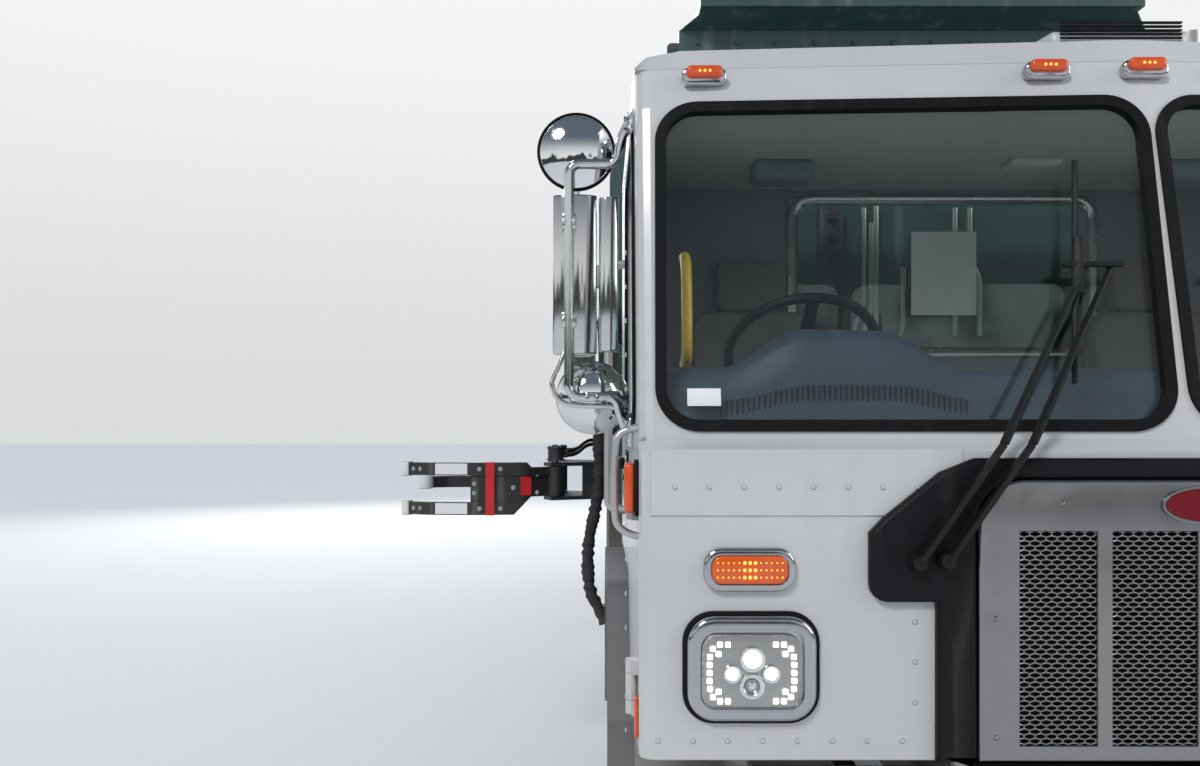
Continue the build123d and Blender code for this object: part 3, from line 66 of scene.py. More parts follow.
def mixed(tree, factor, first, second):
    """A colour between two colours."""
    return place(tree, "Mix", {"data_type": "RGBA"}, {0: factor, 6: first, 7: second}).outputs[2]


def grade(tree, value, low, high, start=0.0, end=1.0):
    """The value's stretch from low to high, drawn out smoothly from start to end."""
    feeds = {0: value, 1: low, 2: high, 3: start, 4: end}
    return place(tree, "MapRange", {"interpolation_type": "SMOOTHSTEP"}, feeds).outputs[0]


def new_material(name):
    """An empty material, its node tree and its output."""
    material = bpy.data.materials.new(name)
    material.use_nodes = True
    material.node_tree.nodes.clear()
    return material, material.node_tree, place(material.node_tree, "OutputMaterial")


floor_span = 120
floor_grey = (0.80, 0.80, 0.79, 1)
floor_mesh = bmesh.new()
bmesh.ops.create_grid(floor_mesh, x_segments=1, y_segments=1, size=floor_span)
floor_data = bpy.data.meshes.new("floor")
floor_mesh.to_mesh(floor_data)
floor_mesh.free()
floor = bpy.data.objects.new("floor", floor_data)
bpy.context.scene.collection.objects.link(floor)
floor_material, tree, output = new_material("pale floor")
floor_shader = place(tree, "BsdfPrincipled", None, {"Base Color": floor_grey, "Roughness": 0.85})
tree.links.new(floor_shader.outputs[0], output.inputs[0])
floor_data.materials.append(floor_material)

sky_seen = (0.90, 0.915, 0.93, 1)
haze_seen = (0.70, 0.715, 0.73, 1)
sky_light = (0.80, 0.88, 1.0, 1)
sky_strength = 0.55
zenith_mirrored = (0.13, 0.16, 0.20, 1)
trees_mirrored = (0.05, 0.056, 0.05, 1)
world = bpy.data.worlds.new("sky")
world.use_nodes = True
world.node_tree.nodes.clear()
tree = world.node_tree
looking = place(tree, "TexCoord").outputs["Generated"]
climb = place(tree, "SeparateXYZ", None, {0: looking}).outputs["Z"]
leaves = place(tree, "TexNoise", None, {"Vector": looking, "Scale": 4.0, "Detail": 7.0}).outputs[0]
tree_tops = math(tree, "MULTIPLY_ADD", leaves, -0.55)
tree_tops.node.inputs[2].default_value = 0.16
above = math(tree, "ADD", climb, tree_tops)
haze = grade(tree, climb, 0.0, 0.45)
open_sky = mixed(tree, haze, haze_seen, sky_seen)
mirrored = mixed(tree, grade(tree, climb, 0.12, 0.62), sky_seen, zenith_mirrored)
mirrored = mixed(tree, grade(tree, above, -0.02, 0.02), trees_mirrored, mirrored)
rays = place(tree, "LightPath").outputs
seen = math(tree, "ADD", rays["Is Camera Ray"], rays["Is Glossy Ray"], True)
seen = math(tree, "ADD", seen, rays["Is Transmission Ray"], True)
shown = mixed(tree, rays["Is Glossy Ray"], open_sky, mirrored)
tint = mixed(tree, seen, sky_light, shown)
power = place(tree, "MapRange", None, {0: seen, 3: sky_strength, 4: 1.0}).outputs[0]
background = place(tree, "Background", None, {"Color": tint, "Strength": power})
tree.links.new(background.outputs[0], place(tree, "OutputWorld").inputs[0])
bpy.context.scene.world = world


def lamp(name, kind, strength, position, aim, size):
    """A lamp at a position, turned towards a point."""
    light = bpy.data.lights.new(name, kind)
    light.energy = strength
    if kind == "SUN":
        light.angle = radians(size)
    else:
        light.size = size
    holder = bpy.data.objects.new(name, light)
    holder.location = position
    holder.rotation_euler = (Vector(aim) - Vector(position)).to_track_quat("-Z", "Y").to_euler()
    bpy.context.scene.collection.objects.link(holder)


lamp("sun", "SUN", 1.7, (-9, -14, 15), (0, 0, 1), 14)
lamp("fill_left", "AREA", 500, (12, -9, 7), (0, -2, 1.5), 7)
lamp("fill_back", "AREA", 700, (-6, 14, 8), (0, 2, 1.5), 8)

middle = sum(corner[0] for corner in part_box("grille")) / 2
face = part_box("cab_front")[0][1]
eye = (middle - 1.28, face - 2.10, 1.76)
focal_pixels = 976.5
photo_width = 1200
photo_height = 766
horizon_pixel = 430
camera_data = bpy.data.cameras.new("camera")
camera_data.sensor_width = 36
camera_data.lens = camera_data.sensor_width * focal_pixels / photo_width
camera_data.shift_y = (horizon_pixel - photo_height / 2) / photo_width
camera = bpy.data.objects.new("camera", camera_data)
camera.location = eye
camera.rotation_euler = (radians(90), 0, 0)
bpy.context.scene.collection.objects.link(camera)
bpy.context.scene.camera = camera
bpy.context.scene.view_settings.view_transform = "Standard"


# The paint on the whole truck: sheet that has been on the road for years. Dust gathers low down,
# rain leaves streaks on the upright panels and the edges are rubbed down to a paler tone.
road_wear = bpy.data.node_groups.new("road wear", "ShaderNodeTree")
tree = road_wear
wear_sockets = {"INPUT": {"Base": "Color", "Dust tone": "Color", "Worn tone": "Color", "Dust": "Float",
                          "Streaks": "Float", "Wear": "Float", "Rough": "Float", "Edge": "Float"},
                "OUTPUT": {"Color": "Color", "Roughness": "Float", "Height": "Float",
                           "Normal": "Vector"}}
for direction, sockets in wear_sockets.items():
    for name, kind in sockets.items():
        tree.interface.new_socket(name, in_out=direction, socket_type="NodeSocket" + kind)
given = tree.nodes.new("NodeGroupInput")
taken = tree.nodes.new("NodeGroupOutput")
where = place(tree, "TexCoord").outputs["Object"]
height = place(tree, "SeparateXYZ", None, {0: where}).outputs["Z"]
clouds = place(tree, "TexNoise", None, {"Vector": where, "Scale": 1.7, "Detail": 5.0}).outputs[0]
specks = place(tree, "TexNoise", None, {"Vector": where, "Scale": 46.0, "Detail": 4.0}).outputs[0]
stretched = place(tree, "Mapping", None, {"Vector": where, "Scale": (17.0, 17.0, 0.9)}).outputs[0]
runs = place(tree, "TexNoise", None, {"Vector": stretched, "Scale": 1.0, "Detail": 5.0}).outputs[0]
low_down = grade(tree, height, 1.75, 0.25)
dusty = math(tree, "MULTIPLY", low_down, grade(tree, clouds, 0.25, 0.7, 0.35, 1.0))
dusty = math(tree, "MULTIPLY", dusty, given.outputs["Dust"], True)
streaked = math(tree, "MULTIPLY", grade(tree, runs, 0.52, 0.72), given.outputs["Streaks"])
streaked = math(tree, "MULTIPLY", streaked, grade(tree, clouds, 0.35, 0.65))
grime = math(tree, "MAXIMUM", dusty, streaked, True)
bevel = place(tree, "Bevel", {"samples": 3}, {"Radius": given.outputs["Edge"]}).outputs[0]
facing = place(tree, "NewGeometry").outputs["Normal"]
rounding = place(tree, "VectorMath", {"operation": "DOT_PRODUCT"}, {0: bevel, 1: facing})
rounding = rounding.outputs["Value"]
rubbed = math(tree, "MULTIPLY", grade(tree, rounding, 0.985, 0.86), grade(tree, specks, 0.38, 0.62))
rubbed = math(tree, "MULTIPLY", rubbed, given.outputs["Wear"], True)
shaded = place(tree, "HueSaturation", None, {"Color": given.outputs["Base"],
               "Value": grade(tree, clouds, 0.3, 0.7, 0.93, 1.05)}).outputs[0]
tone = mixed(tree, grime, shaded, given.outputs["Dust tone"])
tone = mixed(tree, rubbed, tone, given.outputs["Worn tone"])
rough = math(tree, "ADD", given.outputs["Rough"], math(tree, "MULTIPLY", grime, 0.35))
rough = math(tree, "ADD", rough, math(tree, "MULTIPLY", specks, 0.08), True)
for name, value in (("Color", tone), ("Roughness", rough), ("Height", specks), ("Normal", bevel)):
    tree.links.new(value, taken.inputs[name])


def worn_finish(name, base, rough, metallic=0.0, coat=0.0, dust=0.4, streaks=0.25, wear=0.3,
                worn_tone=(0.45, 0.45, 0.44), edge=0.003, grain=0.02, dust_tone=(0.30, 0.27, 0.23),
                shine=0.5):
    """A material of one colour with the road's dust, streaks and rubbed edges on it."""
    material, tree, output = new_material(name)
    shader = place(tree, "BsdfPrincipled", None, {"Metallic": metallic, "Coat Weight": coat,
                                                  "Coat Roughness": 0.12, "Specular IOR Level": shine})
    wear_node = tree.nodes.new("ShaderNodeGroup")
    wear_node.node_tree = road_wear
    for socket, value in (("Base", (*base, 1)), ("Dust tone", (*dust_tone, 1)),
                          ("Worn tone", (*worn_tone, 1)), ("Dust", dust), ("Streaks", streaks),
                          ("Wear", wear), ("Rough", rough), ("Edge", edge)):
        wear_node.inputs[socket].default_value = value
    relief = place(tree, "Bump", None, {"Strength": grain, "Distance": 0.002,
                                        "Height": wear_node.outputs["Height"],
                                        "Normal": wear_node.outputs["Normal"]})
    tree.links.new(wear_node.outputs["Color"], shader.inputs["Base Color"])
    tree.links.new(wear_node.outputs["Roughness"], shader.inputs["Roughness"])
    tree.links.new(relief.outputs[0], shader.inputs["Normal"])
    tree.links.new(shader.outputs[0], output.inputs[0])
    return material


def dress(material, *names):
    """Gives CAD nodes their finish."""
    for name in names:
        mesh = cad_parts[name].data
        mesh.materials.clear()
        mesh.materials.append(material)


# Chassis: two channel rails with cross members, axles, springs, engine block and radiator. Steel
# and castings under black chassis paint, the lowest of it grey with road dust.
chassis_black = worn_finish("black chassis paint", (0.022, 0.022, 0.024), 0.45, dust=0.75, streaks=0.2,
                            wear=0.25, worn_tone=(0.16, 0.15, 0.14), edge=0.004, grain=0.06)
dress(chassis_black, "frame", "radiator")
cast_black = worn_finish("black cast iron", (0.03, 0.029, 0.029), 0.6, metallic=0.3, dust=0.9,
                         streaks=0.3, wear=0.3, worn_tone=(0.2, 0.18, 0.17), edge=0.006, grain=0.35)
dress(cast_black, "axles", "engine", "knuckle_right", "knuckle_left")
spring_steel = worn_finish("spring steel", (0.05, 0.043, 0.038), 0.55, metallic=0.6, dust=0.8,
                           wear=0.5, worn_tone=(0.21, 0.12, 0.07), grain=0.2)
dress(spring_steel, "springs")


# White paint of the cab: gloss enamel over riveted aluminium sheet, chalky and specked with dirt
# along the lower edges. The bumper is steel plate in the same white.
cab_white = worn_finish("white cab paint", (0.50, 0.50, 0.495), 0.30, coat=0.35, dust=0.35,
                        streaks=0.16, wear=0.12, worn_tone=(0.58, 0.58, 0.57), edge=0.004,
                        grain=0.012, dust_tone=(0.40, 0.375, 0.335))
dress(cab_white, "cab_front", "cab_roof", "cab_sides", "cab_rear", "cab_floor", "door_right",
      "door_left", "bumper")


# Dark green paint of the packer body, hood and tailgate: thick enamel on ribbed steel plate,
# scratched where carts and branches strike it.
body_green = worn_finish("dark green body paint", (0.022, 0.060, 0.053), 0.33, coat=0.25, dust=0.45,
                         streaks=0.45, wear=0.4, worn_tone=(0.10, 0.14, 0.12), edge=0.006,
                         grain=0.03, dust_tone=(0.16, 0.17, 0.15))
dress(body_green, "body_sills", "hopper", "front_hood", "body_shell", "tailgate")
arm_green = worn_finish("green arm paint", (0.022, 0.060, 0.053), 0.38, coat=0.15, dust=0.3,
                        streaks=0.4, wear=0.7, worn_tone=(0.20, 0.21, 0.20), edge=0.005,
                        grain=0.05, dust_tone=(0.18, 0.18, 0.16))
dress(arm_green, "mast")


# Bare metal: checker plate steps, the fuel and oil tanks and the upright exhaust. Steps and tanks
# are aluminium, the exhaust is a steel tube that its heat has stained.
step_metal = worn_finish("step aluminium", (0.50, 0.50, 0.50), 0.36, metallic=0.9, dust=0.5,
                         wear=0.4, worn_tone=(0.72, 0.72, 0.72), grain=0.15)
dress(step_metal, "steps")
tank_metal = worn_finish("tank aluminium", (0.56, 0.57, 0.57), 0.3, metallic=0.95, dust=0.45,
                         streaks=0.35, wear=0.2, worn_tone=(0.75, 0.75, 0.75), grain=0.05)
dress(tank_metal, "tanks")
stack_metal = worn_finish("exhaust steel", (0.50, 0.49, 0.47), 0.25, metallic=1.0, dust=0.35,
                          streaks=0.4, wear=0.2, worn_tone=(0.30, 0.22, 0.15), grain=0.03)
dress(stack_metal, "exhaust")


# Mouldings: grey plastic fenders, the black cowl round the grille, wiper arms, mirror housings,
# the blue-grey dashboard, the steering wheels.
fender_grey = worn_finish("grey fender plastic", (0.115, 0.12, 0.128), 0.52, dust=0.6, streaks=0.3,
                          wear=0.15, edge=0.006, grain=0.12)
dress(fender_grey, "fenders")
cowl_black = worn_finish("black moulded plastic", (0.006, 0.006, 0.008), 0.42, dust=0.06, streaks=0.05,
                         wear=0.15, worn_tone=(0.06, 0.06, 0.06), edge=0.003, grain=0.1, shine=0.15)
dress(cowl_black, "cowl", "wipers", "mirrors_right", "mirrors_left", "steering_wheels")
dash_blue = worn_finish("dashboard plastic", (0.020, 0.027, 0.040), 0.55, dust=0.05, streaks=0.0,
                        wear=0.1, edge=0.004, grain=0.15)
dress(dash_blue, "dashboard")


# Rubber: screen seals, tyres, mud flaps and the sleeve round the arm's hoses. The wheels inside
# the tyres are pressed steel under white paint.
rubber_black = worn_finish("black rubber", (0.005, 0.005, 0.006), 0.5, dust=0.03, streaks=0.03,
                           wear=0.1, worn_tone=(0.04, 0.04, 0.04), edge=0.002, grain=0.1, shine=0.12)
dress(rubber_black, "screen_seals", "hose_sleeve")
flap_rubber = worn_finish("mud flap rubber", (0.012, 0.012, 0.013), 0.7, dust=0.7, streaks=0.3,
                          wear=0.2, worn_tone=(0.08, 0.08, 0.08), grain=0.2)
dress(flap_rubber, "mud_flaps")
tyre_black = worn_finish("tyre rubber", (0.018, 0.018, 0.019), 0.75, dust=0.7, streaks=0.1, wear=0.2,
                         worn_tone=(0.09, 0.085, 0.08), edge=0.003, grain=0.2)
wheel_white = worn_finish("white wheel paint", (0.62, 0.62, 0.60), 0.4, dust=0.6, streaks=0.2,
                          wear=0.3, worn_tone=(0.28, 0.2, 0.15), edge=0.004, grain=0.05)
for side in ("right", "left"):
    dress(tyre_black, "front_tyre_" + side, "middle_tyres_" + side, "rear_tyres_" + side)
    dress(wheel_white, "front_rim_" + side, "middle_rims_" + side, "rear_rims_" + side)


# Glass: laminated screens and toughened door windows, clear and faintly green, set in rubber.
# The sun's light passes straight through them.
def glass_finish(name, tone, rough=0.02):
    """Clear glass that lets light through without bending it much."""
    material, tree, output = new_material(name)
    shader = place(tree, "BsdfPrincipled", None, {"Base Color": tone, "Roughness": rough, "IOR": 1.45,
                                                  "Transmission Weight": 1.0})
    clear = place(tree, "BsdfTransparent", None, {"Color": tone}).outputs[0]
    rays = place(tree, "LightPath").outputs["Is Shadow Ray"]
    blend = place(tree, "MixShader", None, {0: rays, 1: shader.outputs[0], 2: clear}).outputs[0]
    tree.links.new(blend, output.inputs[0])
    return material


screen_glass = glass_finish("screen glass", (0.86, 0.93, 0.91, 1))
dress(screen_glass, "cab_glass", "door_glass_right", "door_glass_left")


# Lamps: chromed bezels with clear, amber and red plastic lenses. The grille between them is bright
# stainless steel.
lamp_chrome = worn_finish("lamp chrome", (0.46, 0.46, 0.48), 0.08, metallic=1.0, dust=0.05,
                          streaks=0.05, wear=0.0, edge=0.002, grain=0.0)
dress(lamp_chrome, "head_lamps")
grille_steel = worn_finish("stainless grille", (0.50, 0.50, 0.51), 0.24, metallic=1.0, dust=0.2,
                           streaks=0.15, wear=0.1, edge=0.002, grain=0.01)
dress(grille_steel, "grille")
amber_lens = worn_finish("amber lens", (0.85, 0.26, 0.02), 0.12, coat=0.6, dust=0.1, streaks=0.1,
                         wear=0.0, edge=0.002, grain=0.0)
dress(amber_lens, "amber_lamps")
red_lens = worn_finish("red lens", (0.45, 0.01, 0.01), 0.12, coat=0.6, dust=0.3, wear=0.0,
                       edge=0.002, grain=0.0)
dress(red_lens, "tail_lamps")


# Rivets: rows of round-headed aluminium rivets that hold the cab's sheets to its frame, set and
# painted with the panels, so they are white too.
rivet_radius = 0.0065
rivet_rise = 0.0032


def finished(name, shape, materials, body, sharp=35):
    """The shape as an object of the truck that rides on a body."""
    mesh = bpy.data.meshes.new(name)
    shape.to_mesh(mesh)
    shape.free()
    for material in materials if isinstance(materials, (list, tuple)) else (materials,):
        mesh.materials.append(material)
    mesh.polygons.foreach_set("use_smooth", [True] * len(mesh.polygons))
    mesh.set_sharp_from_angle(angle=radians(sharp))
    thing = bpy.data.objects.new(name, mesh)
    bpy.context.scene.collection.objects.link(thing)
    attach(thing, body)
    return thing


def fresh(shape, before):
    """The corners that a shape has got since then."""
    return [corner for corner in shape.verts if corner not in before]


def skinned(piece, thickness):
    """Gives a piece of open sheet its thickness."""
    skin = piece.modifiers.new("skin", "SOLIDIFY")
    skin.thickness = thickness


def turned(axis, angle):
    """A turn about one axis by an angle in degrees."""
    return Matrix.Rotation(radians(angle), 3, axis)


def stub(shape, at, turn, segments, radius1, radius2, depth):
    """A short closed cone, its middle at a point, turned from upright by a matrix."""
    made = bmesh.ops.create_cone(shape, cap_ends=True, segments=segments, radius1=radius1,
                                 radius2=radius2, depth=depth)["verts"]
    bmesh.ops.rotate(shape, matrix=turn, verts=made)
    bmesh.ops.translate(shape, vec=at, verts=made)


def turn_to(facing):
    """The turn from upright to a direction."""
    return Vector(facing).to_track_quat("Z", "Y").to_matrix()


def rivet_head(shape, at, facing):
    """One low domed head at a point, its crown towards the facing direction."""
    stub(shape, Vector(at) + Vector(facing) * rivet_rise / 2, turn_to(facing), 8, rivet_radius,
         rivet_radius * 0.55, rivet_rise)


street = (0, -1, 0)
both_sides = (("right", -1), ("left", 1))


def here(across, along, up):
    """A point of the truck: across from its middle, back from its front panel, up from the road."""
    return (middle + across, face + along, up)


rivets = bmesh.new()
# Columns: height of the row, first and last place across from the middle, spacing.
for height, start, end, pitch in ((1.637, 0.597, 1.12, 0.0746), (1.091, 0.63, 1.16, 0.075)):
    for way in (-1, 1):
        for number in range(int((end - start) / pitch) + 1):
            lift = 0.003 if height > 1.575 else 0.0
            rivet_head(rivets, here(way * (start + number * pitch), -lift, height), street)
for way in (-1, 1):
    for height in (1.347, 1.261, 1.173):
        rivet_head(rivets, here(way * 0.6025, 0, height), street)
side_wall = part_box("cab_sides")
for way, wall in ((-1, side_wall[0][0]), (1, side_wall[1][0])):
    for number in range(15):
        rivet_head(rivets, (wall, face + 0.048, 1.10 + number * 0.075), (way, 0, 0))
finished("cab_rivets", rivets, cab_white, "cab")


# Lap of the front sheet: the upper panel of the cab's white aluminium hangs over the lower one at
# a seam right across.
def rims_of(corners):
    """The edges at some corners, each once and always in the same order."""
    return list(dict.fromkeys(rim for corner in corners for rim in corner.link_edges))


def only(parts, kind):
    """The parts of a shape that are of one kind."""
    return [part for part in parts if isinstance(part, kind)]


def sides_of(corners):
    """The faces at some corners, each once and always in the same order."""
    return list(dict.fromkeys(side for corner in corners for side in corner.link_faces))


def rounded(shape, rims, offset, segments, kind="EDGES"):
    """Rounds edges, or the corners of a flat face where the kind is VERTICES."""
    bmesh.ops.bevel(shape, geom=rims, offset=offset, segments=segments, profile=0.5, affect=kind,
                    material=-1)


def slab(shape, one, other, edge=0.0, segments=2):
    """A box between two opposite corners with its edges rounded."""
    low, high = Vector([*map(min, one, other)]), Vector([*map(max, one, other)])
    made = bmesh.ops.create_cube(shape, size=1)["verts"]
    bmesh.ops.scale(shape, vec=high - low, verts=made)
    bmesh.ops.translate(shape, vec=(low + high) / 2, verts=made)
    if edge:
        rounded(shape, rims_of(made), edge, segments)


lap = bmesh.new()
lap_rise = 0.003
for way in (-1, 1):
    slab(lap, here(way * 0.50, -lap_rise, 1.575), here(way * 1.172, 0.004, 1.719), 0.0012, 1)
finished("front_lap", lap, cab_white, "cab")


# Head lamps: a square sealed unit in a chromed bezel over a black gasket. Behind the clear lens
# sit four bright bowls, three of them lit, between two bowed strips of small lights.
def upright_plate(shape, centre, width, height, depth, corner, edge=0.0, segments=6):
    """A plate with rounded corners that faces the street, its back at the centre given.
    Its front face is returned."""
    before = set(shape.verts)
    quad = bmesh.ops.create_grid(shape, x_segments=1, y_segments=1, size=0.5)["verts"]
    bmesh.ops.scale(shape, vec=(width, height, 1), verts=quad)
    bmesh.ops.rotate(shape, matrix=turned("X", 90), verts=quad)
    if corner:
        rounded(shape, quad, corner, segments, "VERTICES")
    back = fresh(shape, before)[0].link_faces[0]
    grown = bmesh.ops.extrude_face_region(shape, geom=[back])["geom"]
    front = only(grown, bmesh.types.BMFace)[0]
    bmesh.ops.translate(shape, vec=(0, -depth, 0), verts=front.verts)
    if edge:
        rounded(shape, list(front.edges), edge, 3)
        made = sides_of(fresh(shape, before))
        front = min(made, key=lambda side: (round(side.calc_center_median().y, 6), -side.calc_area()))
    made = fresh(shape, before)
    bmesh.ops.translate(shape, vec=centre, verts=made)
    bmesh.ops.recalc_face_normals(shape, faces=sides_of(made))
    return front


def sunk(shape, front, margin, depth):
    """Sinks the middle of a front face, leaving a margin round it, and returns its floor."""
    bmesh.ops.inset_region(shape, faces=[front], thickness=margin, use_even_offset=True)
    grown = bmesh.ops.extrude_face_region(shape, geom=[front])["geom"]
    floor_face = only(grown, bmesh.types.BMFace)[0]
    bmesh.ops.translate(shape, vec=(0, depth, 0), verts=floor_face.verts)
    if front.is_valid:
        bmesh.ops.delete(shape, geom=[front], context="FACES_ONLY")
    return floor_face


def lit_finish(name, tone, strength):
    """A small light source behind a lens."""
    material, tree, output = new_material(name)
    shader = place(tree, "BsdfPrincipled", None, {"Base Color": tone, "Roughness": 0.3,
                                                  "Emission Color": tone,
                                                  "Emission Strength": strength})
    tree.links.new(shader.outputs[0], output.inputs[0])
    return material


lamp_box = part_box("head_lamps")
lamp_inset = 0.1385
lamp_places = [lamp_box[0][0] + lamp_inset, lamp_box[1][0] - lamp_inset]
lamp_height = 1.251
lens_height = 1.242
lens_clear = glass_finish("clear lens", (0.97, 0.98, 0.98, 1))
lamp_light = lit_finish("lamp light", (1.0, 0.94, 0.84, 1), 2.0)
lamp_silver = worn_finish("lamp housing", (0.42, 0.41, 0.40), 0.22, metallic=1.0, dust=0.0, streaks=0.0,
                          wear=0.0, grain=0.02)
bowl_chrome = worn_finish("bowl chrome", (0.85, 0.85, 0.86), 0.06, metallic=1.0, dust=0.0, streaks=0.0,
                          wear=0.0, grain=0.0, edge=0.001)
# Columns: place across and up from the lens's middle, radius, whether lit.
bowls = ((0.001, 0.029, 0.027, True), (0.041, -0.002, 0.019, True), (-0.042, -0.002, 0.019, True),
         (0.0, -0.028, 0.027, False))
# Columns: place across and up from the lens's middle.
ring_lights = ((0.090, 0.000), (0.090, 0.017), (0.090, -0.017), (0.089, 0.034), (0.089, -0.034),
               (0.083, 0.051), (0.083, -0.051), (0.068, 0.060), (0.068, -0.060), (0.051, 0.060),
               (0.051, -0.060), (0.071, 0.040), (0.071, -0.040))
ring_light_half = 0.0058


def facing_street(shape, made, at):
    """Turns what was made along Z to face the street and puts it at a point."""
    bmesh.ops.rotate(shape, matrix=turned("X", 90), verts=made)
    bmesh.ops.translate(shape, vec=at, verts=made)


for side, across in zip(("right", "left"), lamp_places):
    gasket = bmesh.new()
    upright_plate(gasket, (across, face, lamp_height), 0.294, 0.240, 0.009, 0.066, 0.003, 10)
    finished(f"head_lamp_gasket_{side}", gasket, rubber_black, "cab")
    bezel = bmesh.new()
    rim_face = upright_plate(bezel, (across, face, lamp_height), 0.276, 0.224, 0.026, 0.060, 0.010, 10)
    sunk(bezel, rim_face, 0.017, 0.016)
    finished(f"head_lamp_bezel_{side}", bezel, lamp_chrome, "cab")
    housing = bmesh.new()
    upright_plate(housing, (across, face - 0.004, lens_height), 0.216, 0.166, 0.012, 0.036, 0.002, 8)
    finished(f"head_lamp_housing_{side}", housing, lamp_silver, "cab")
    bright, lit = bmesh.new(), bmesh.new()
    for shift_x, shift_z, radius, on in bowls:
        at = (across + shift_x, face - 0.019, lens_height + shift_z)
        ring = bmesh.ops.create_cone(bright, cap_ends=False, segments=28, radius1=radius * 0.45,
                                     radius2=radius, depth=0.008)["verts"]
        facing_street(bright, ring, at)
        dish = bmesh.ops.create_circle(bright, cap_ends=True, segments=28,
                                       radius=radius * 0.47)["verts"]
        facing_street(bright, dish, (at[0], at[1] + 0.0035, at[2]))
        glow = bmesh.ops.create_uvsphere(lit if on else bright, u_segments=20, v_segments=10,
                                         radius=radius * (0.72 if on else 0.3))["verts"]
        bmesh.ops.scale(lit if on else bright, vec=(1, 1, 0.3), verts=glow)
        facing_street(lit if on else bright, glow, (at[0], at[1] + 0.001, at[2]))
    for way in (-1, 1):
        for ring_x, ring_z in ring_lights:
            x, z = across + way * ring_x, lens_height + ring_z
            slab(lit, (x - ring_light_half, face - 0.020, z - ring_light_half),
                 (x + ring_light_half, face - 0.0155, z + ring_light_half), 0.0015, 1)
    skinned(finished(f"head_lamp_bowls_{side}", bright, bowl_chrome, "cab"), 0.0006)
    finished(f"head_lamp_lights_{side}", lit, lamp_light, "cab")
    lens = bmesh.new()
    upright_plate(lens, (across, face - 0.0235, lens_height), 0.212, 0.162, 0.004, 0.034, 0.001, 8)
    shown = finished(f"head_lamp_lens_{side}", lens, lens_clear, "cab")
    if side == "right":
        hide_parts("head_lamps")


# Turn signals and marker lights: amber plastic lenses over rows of small lights, in chromed
# bezels, two over the head lamps and five along the roof's edge.
signal_lens = worn_finish("signal lens", (0.62, 0.085, 0.005), 0.14, coat=0.5, dust=0.08, streaks=0.1,
                          wear=0.0, edge=0.002, grain=0.0)
signal_glow = lit_finish("signal glow", (1.0, 0.36, 0.05, 1), 1.6)
signal_height = 1.461
signal_reach = 0.960
dot_radius = 0.0042


def light_dot(shape, at, radius):
    """One small light at a point."""
    dot = bmesh.ops.create_uvsphere(shape, u_segments=8, v_segments=5, radius=radius)["verts"]
    bmesh.ops.translate(shape, vec=at, verts=dot)


for side, way in both_sides:
    across = middle + way * signal_reach
    bezel = bmesh.new()
    rim_face = upright_plate(bezel, (across, face, signal_height), 0.197, 0.094, 0.018, 0.038, 0.007)
    sunk(bezel, rim_face, 0.008, 0.008)
    finished(f"signal_bezel_{side}", bezel, lamp_chrome, "cab")
    lens = bmesh.new()
    upright_plate(lens, (across, face - 0.006, signal_height), 0.164, 0.062, 0.014, 0.024, 0.005)
    shown = finished(f"signal_lens_{side}", lens, signal_lens, "cab")
    dots = bmesh.new()
    for row in (-1, 0, 1):
        for column in range(-6, 7):
            light_dot(dots, (across + column * 0.0115, face - 0.0195, signal_height + row * 0.0155),
                      dot_radius if abs(column) < 2 else 0.0022)
    finished(f"signal_dots_{side}", dots, signal_glow, "cab")
    if side == "right":
        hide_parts("amber_lamps")
marker_lens = worn_finish("marker lens", (0.62, 0.07, 0.006), 0.15, coat=0.5, dust=0.05, streaks=0.1,
                          wear=0.0, edge=0.002, grain=0.0)
marker_height = 2.612
for number, reach in enumerate((-1.03, -0.225, 0, 0.225, 1.03)):
    at = Vector(here(reach, 0.205 + 0.05 * abs(reach), marker_height))
    base, lens, glow = bmesh.new(), bmesh.new(), bmesh.new()
    upright_plate(base, at + Vector((0, 0, -0.004)), 0.108, 0.044, 0.020, 0.020, 0.006)
    upright_plate(lens, at + Vector((0, -0.010, 0.004)), 0.088, 0.030, 0.022, 0.013, 0.008)
    for shift in (-0.012, 0, 0.012):
        light_dot(glow, at + Vector((shift, -0.030, 0.004)), dot_radius)
    for name, shape, material in (("base", base, lamp_chrome), ("lens", lens, marker_lens),
                                  ("glow", glow, signal_glow)):
        finished(f"marker_{name}_{number}", shape, material, "cab")


# Grille: a bright stainless pan standing proud of the cowl, with four panels punched in staggered
# rows of flat six-sided holes, and a blank enamelled oval at its head.
grille_half = 0.476
grille_head = 1.655
grille_foot = 1.055
grille_corner = 0.097
grille_proud = 0.031
vent_low = 1.089
vent_high = 1.546
vent_edges = (-0.391, -0.224, -0.194, -0.011, 0.011, 0.194, 0.224, 0.391)
pan = bmesh.new()
pan_height = grille_head - grille_foot + 0.2
pan_middle = grille_head - pan_height / 2
quad = bmesh.ops.create_grid(pan, x_segments=1, y_segments=1, size=0.5)["verts"]
bmesh.ops.scale(pan, vec=(2 * grille_half, pan_height, 1), verts=quad)
rounded(pan, quad, grille_corner, 10, "VERTICES")
bmesh.ops.bisect_plane(pan, geom=pan.verts[:] + pan.edges[:] + pan.faces[:],
                       plane_co=(0, grille_foot - pan_middle, 0), plane_no=(0, 1, 0), clear_inner=True)
outline = pan.edges[:]
walls = only(bmesh.ops.extrude_edge_only(pan, edges=outline)["geom"], bmesh.types.BMVert)
bmesh.ops.translate(pan, vec=(0, 0, -grille_proud), verts=walls)
rounded(pan, outline, 0.009, 4)
cuts = [((across, 0, 0), (1, 0, 0)) for across in vent_edges]
cuts += [((0, up - pan_middle, 0), (0, 1, 0)) for up in (vent_low, vent_high)]
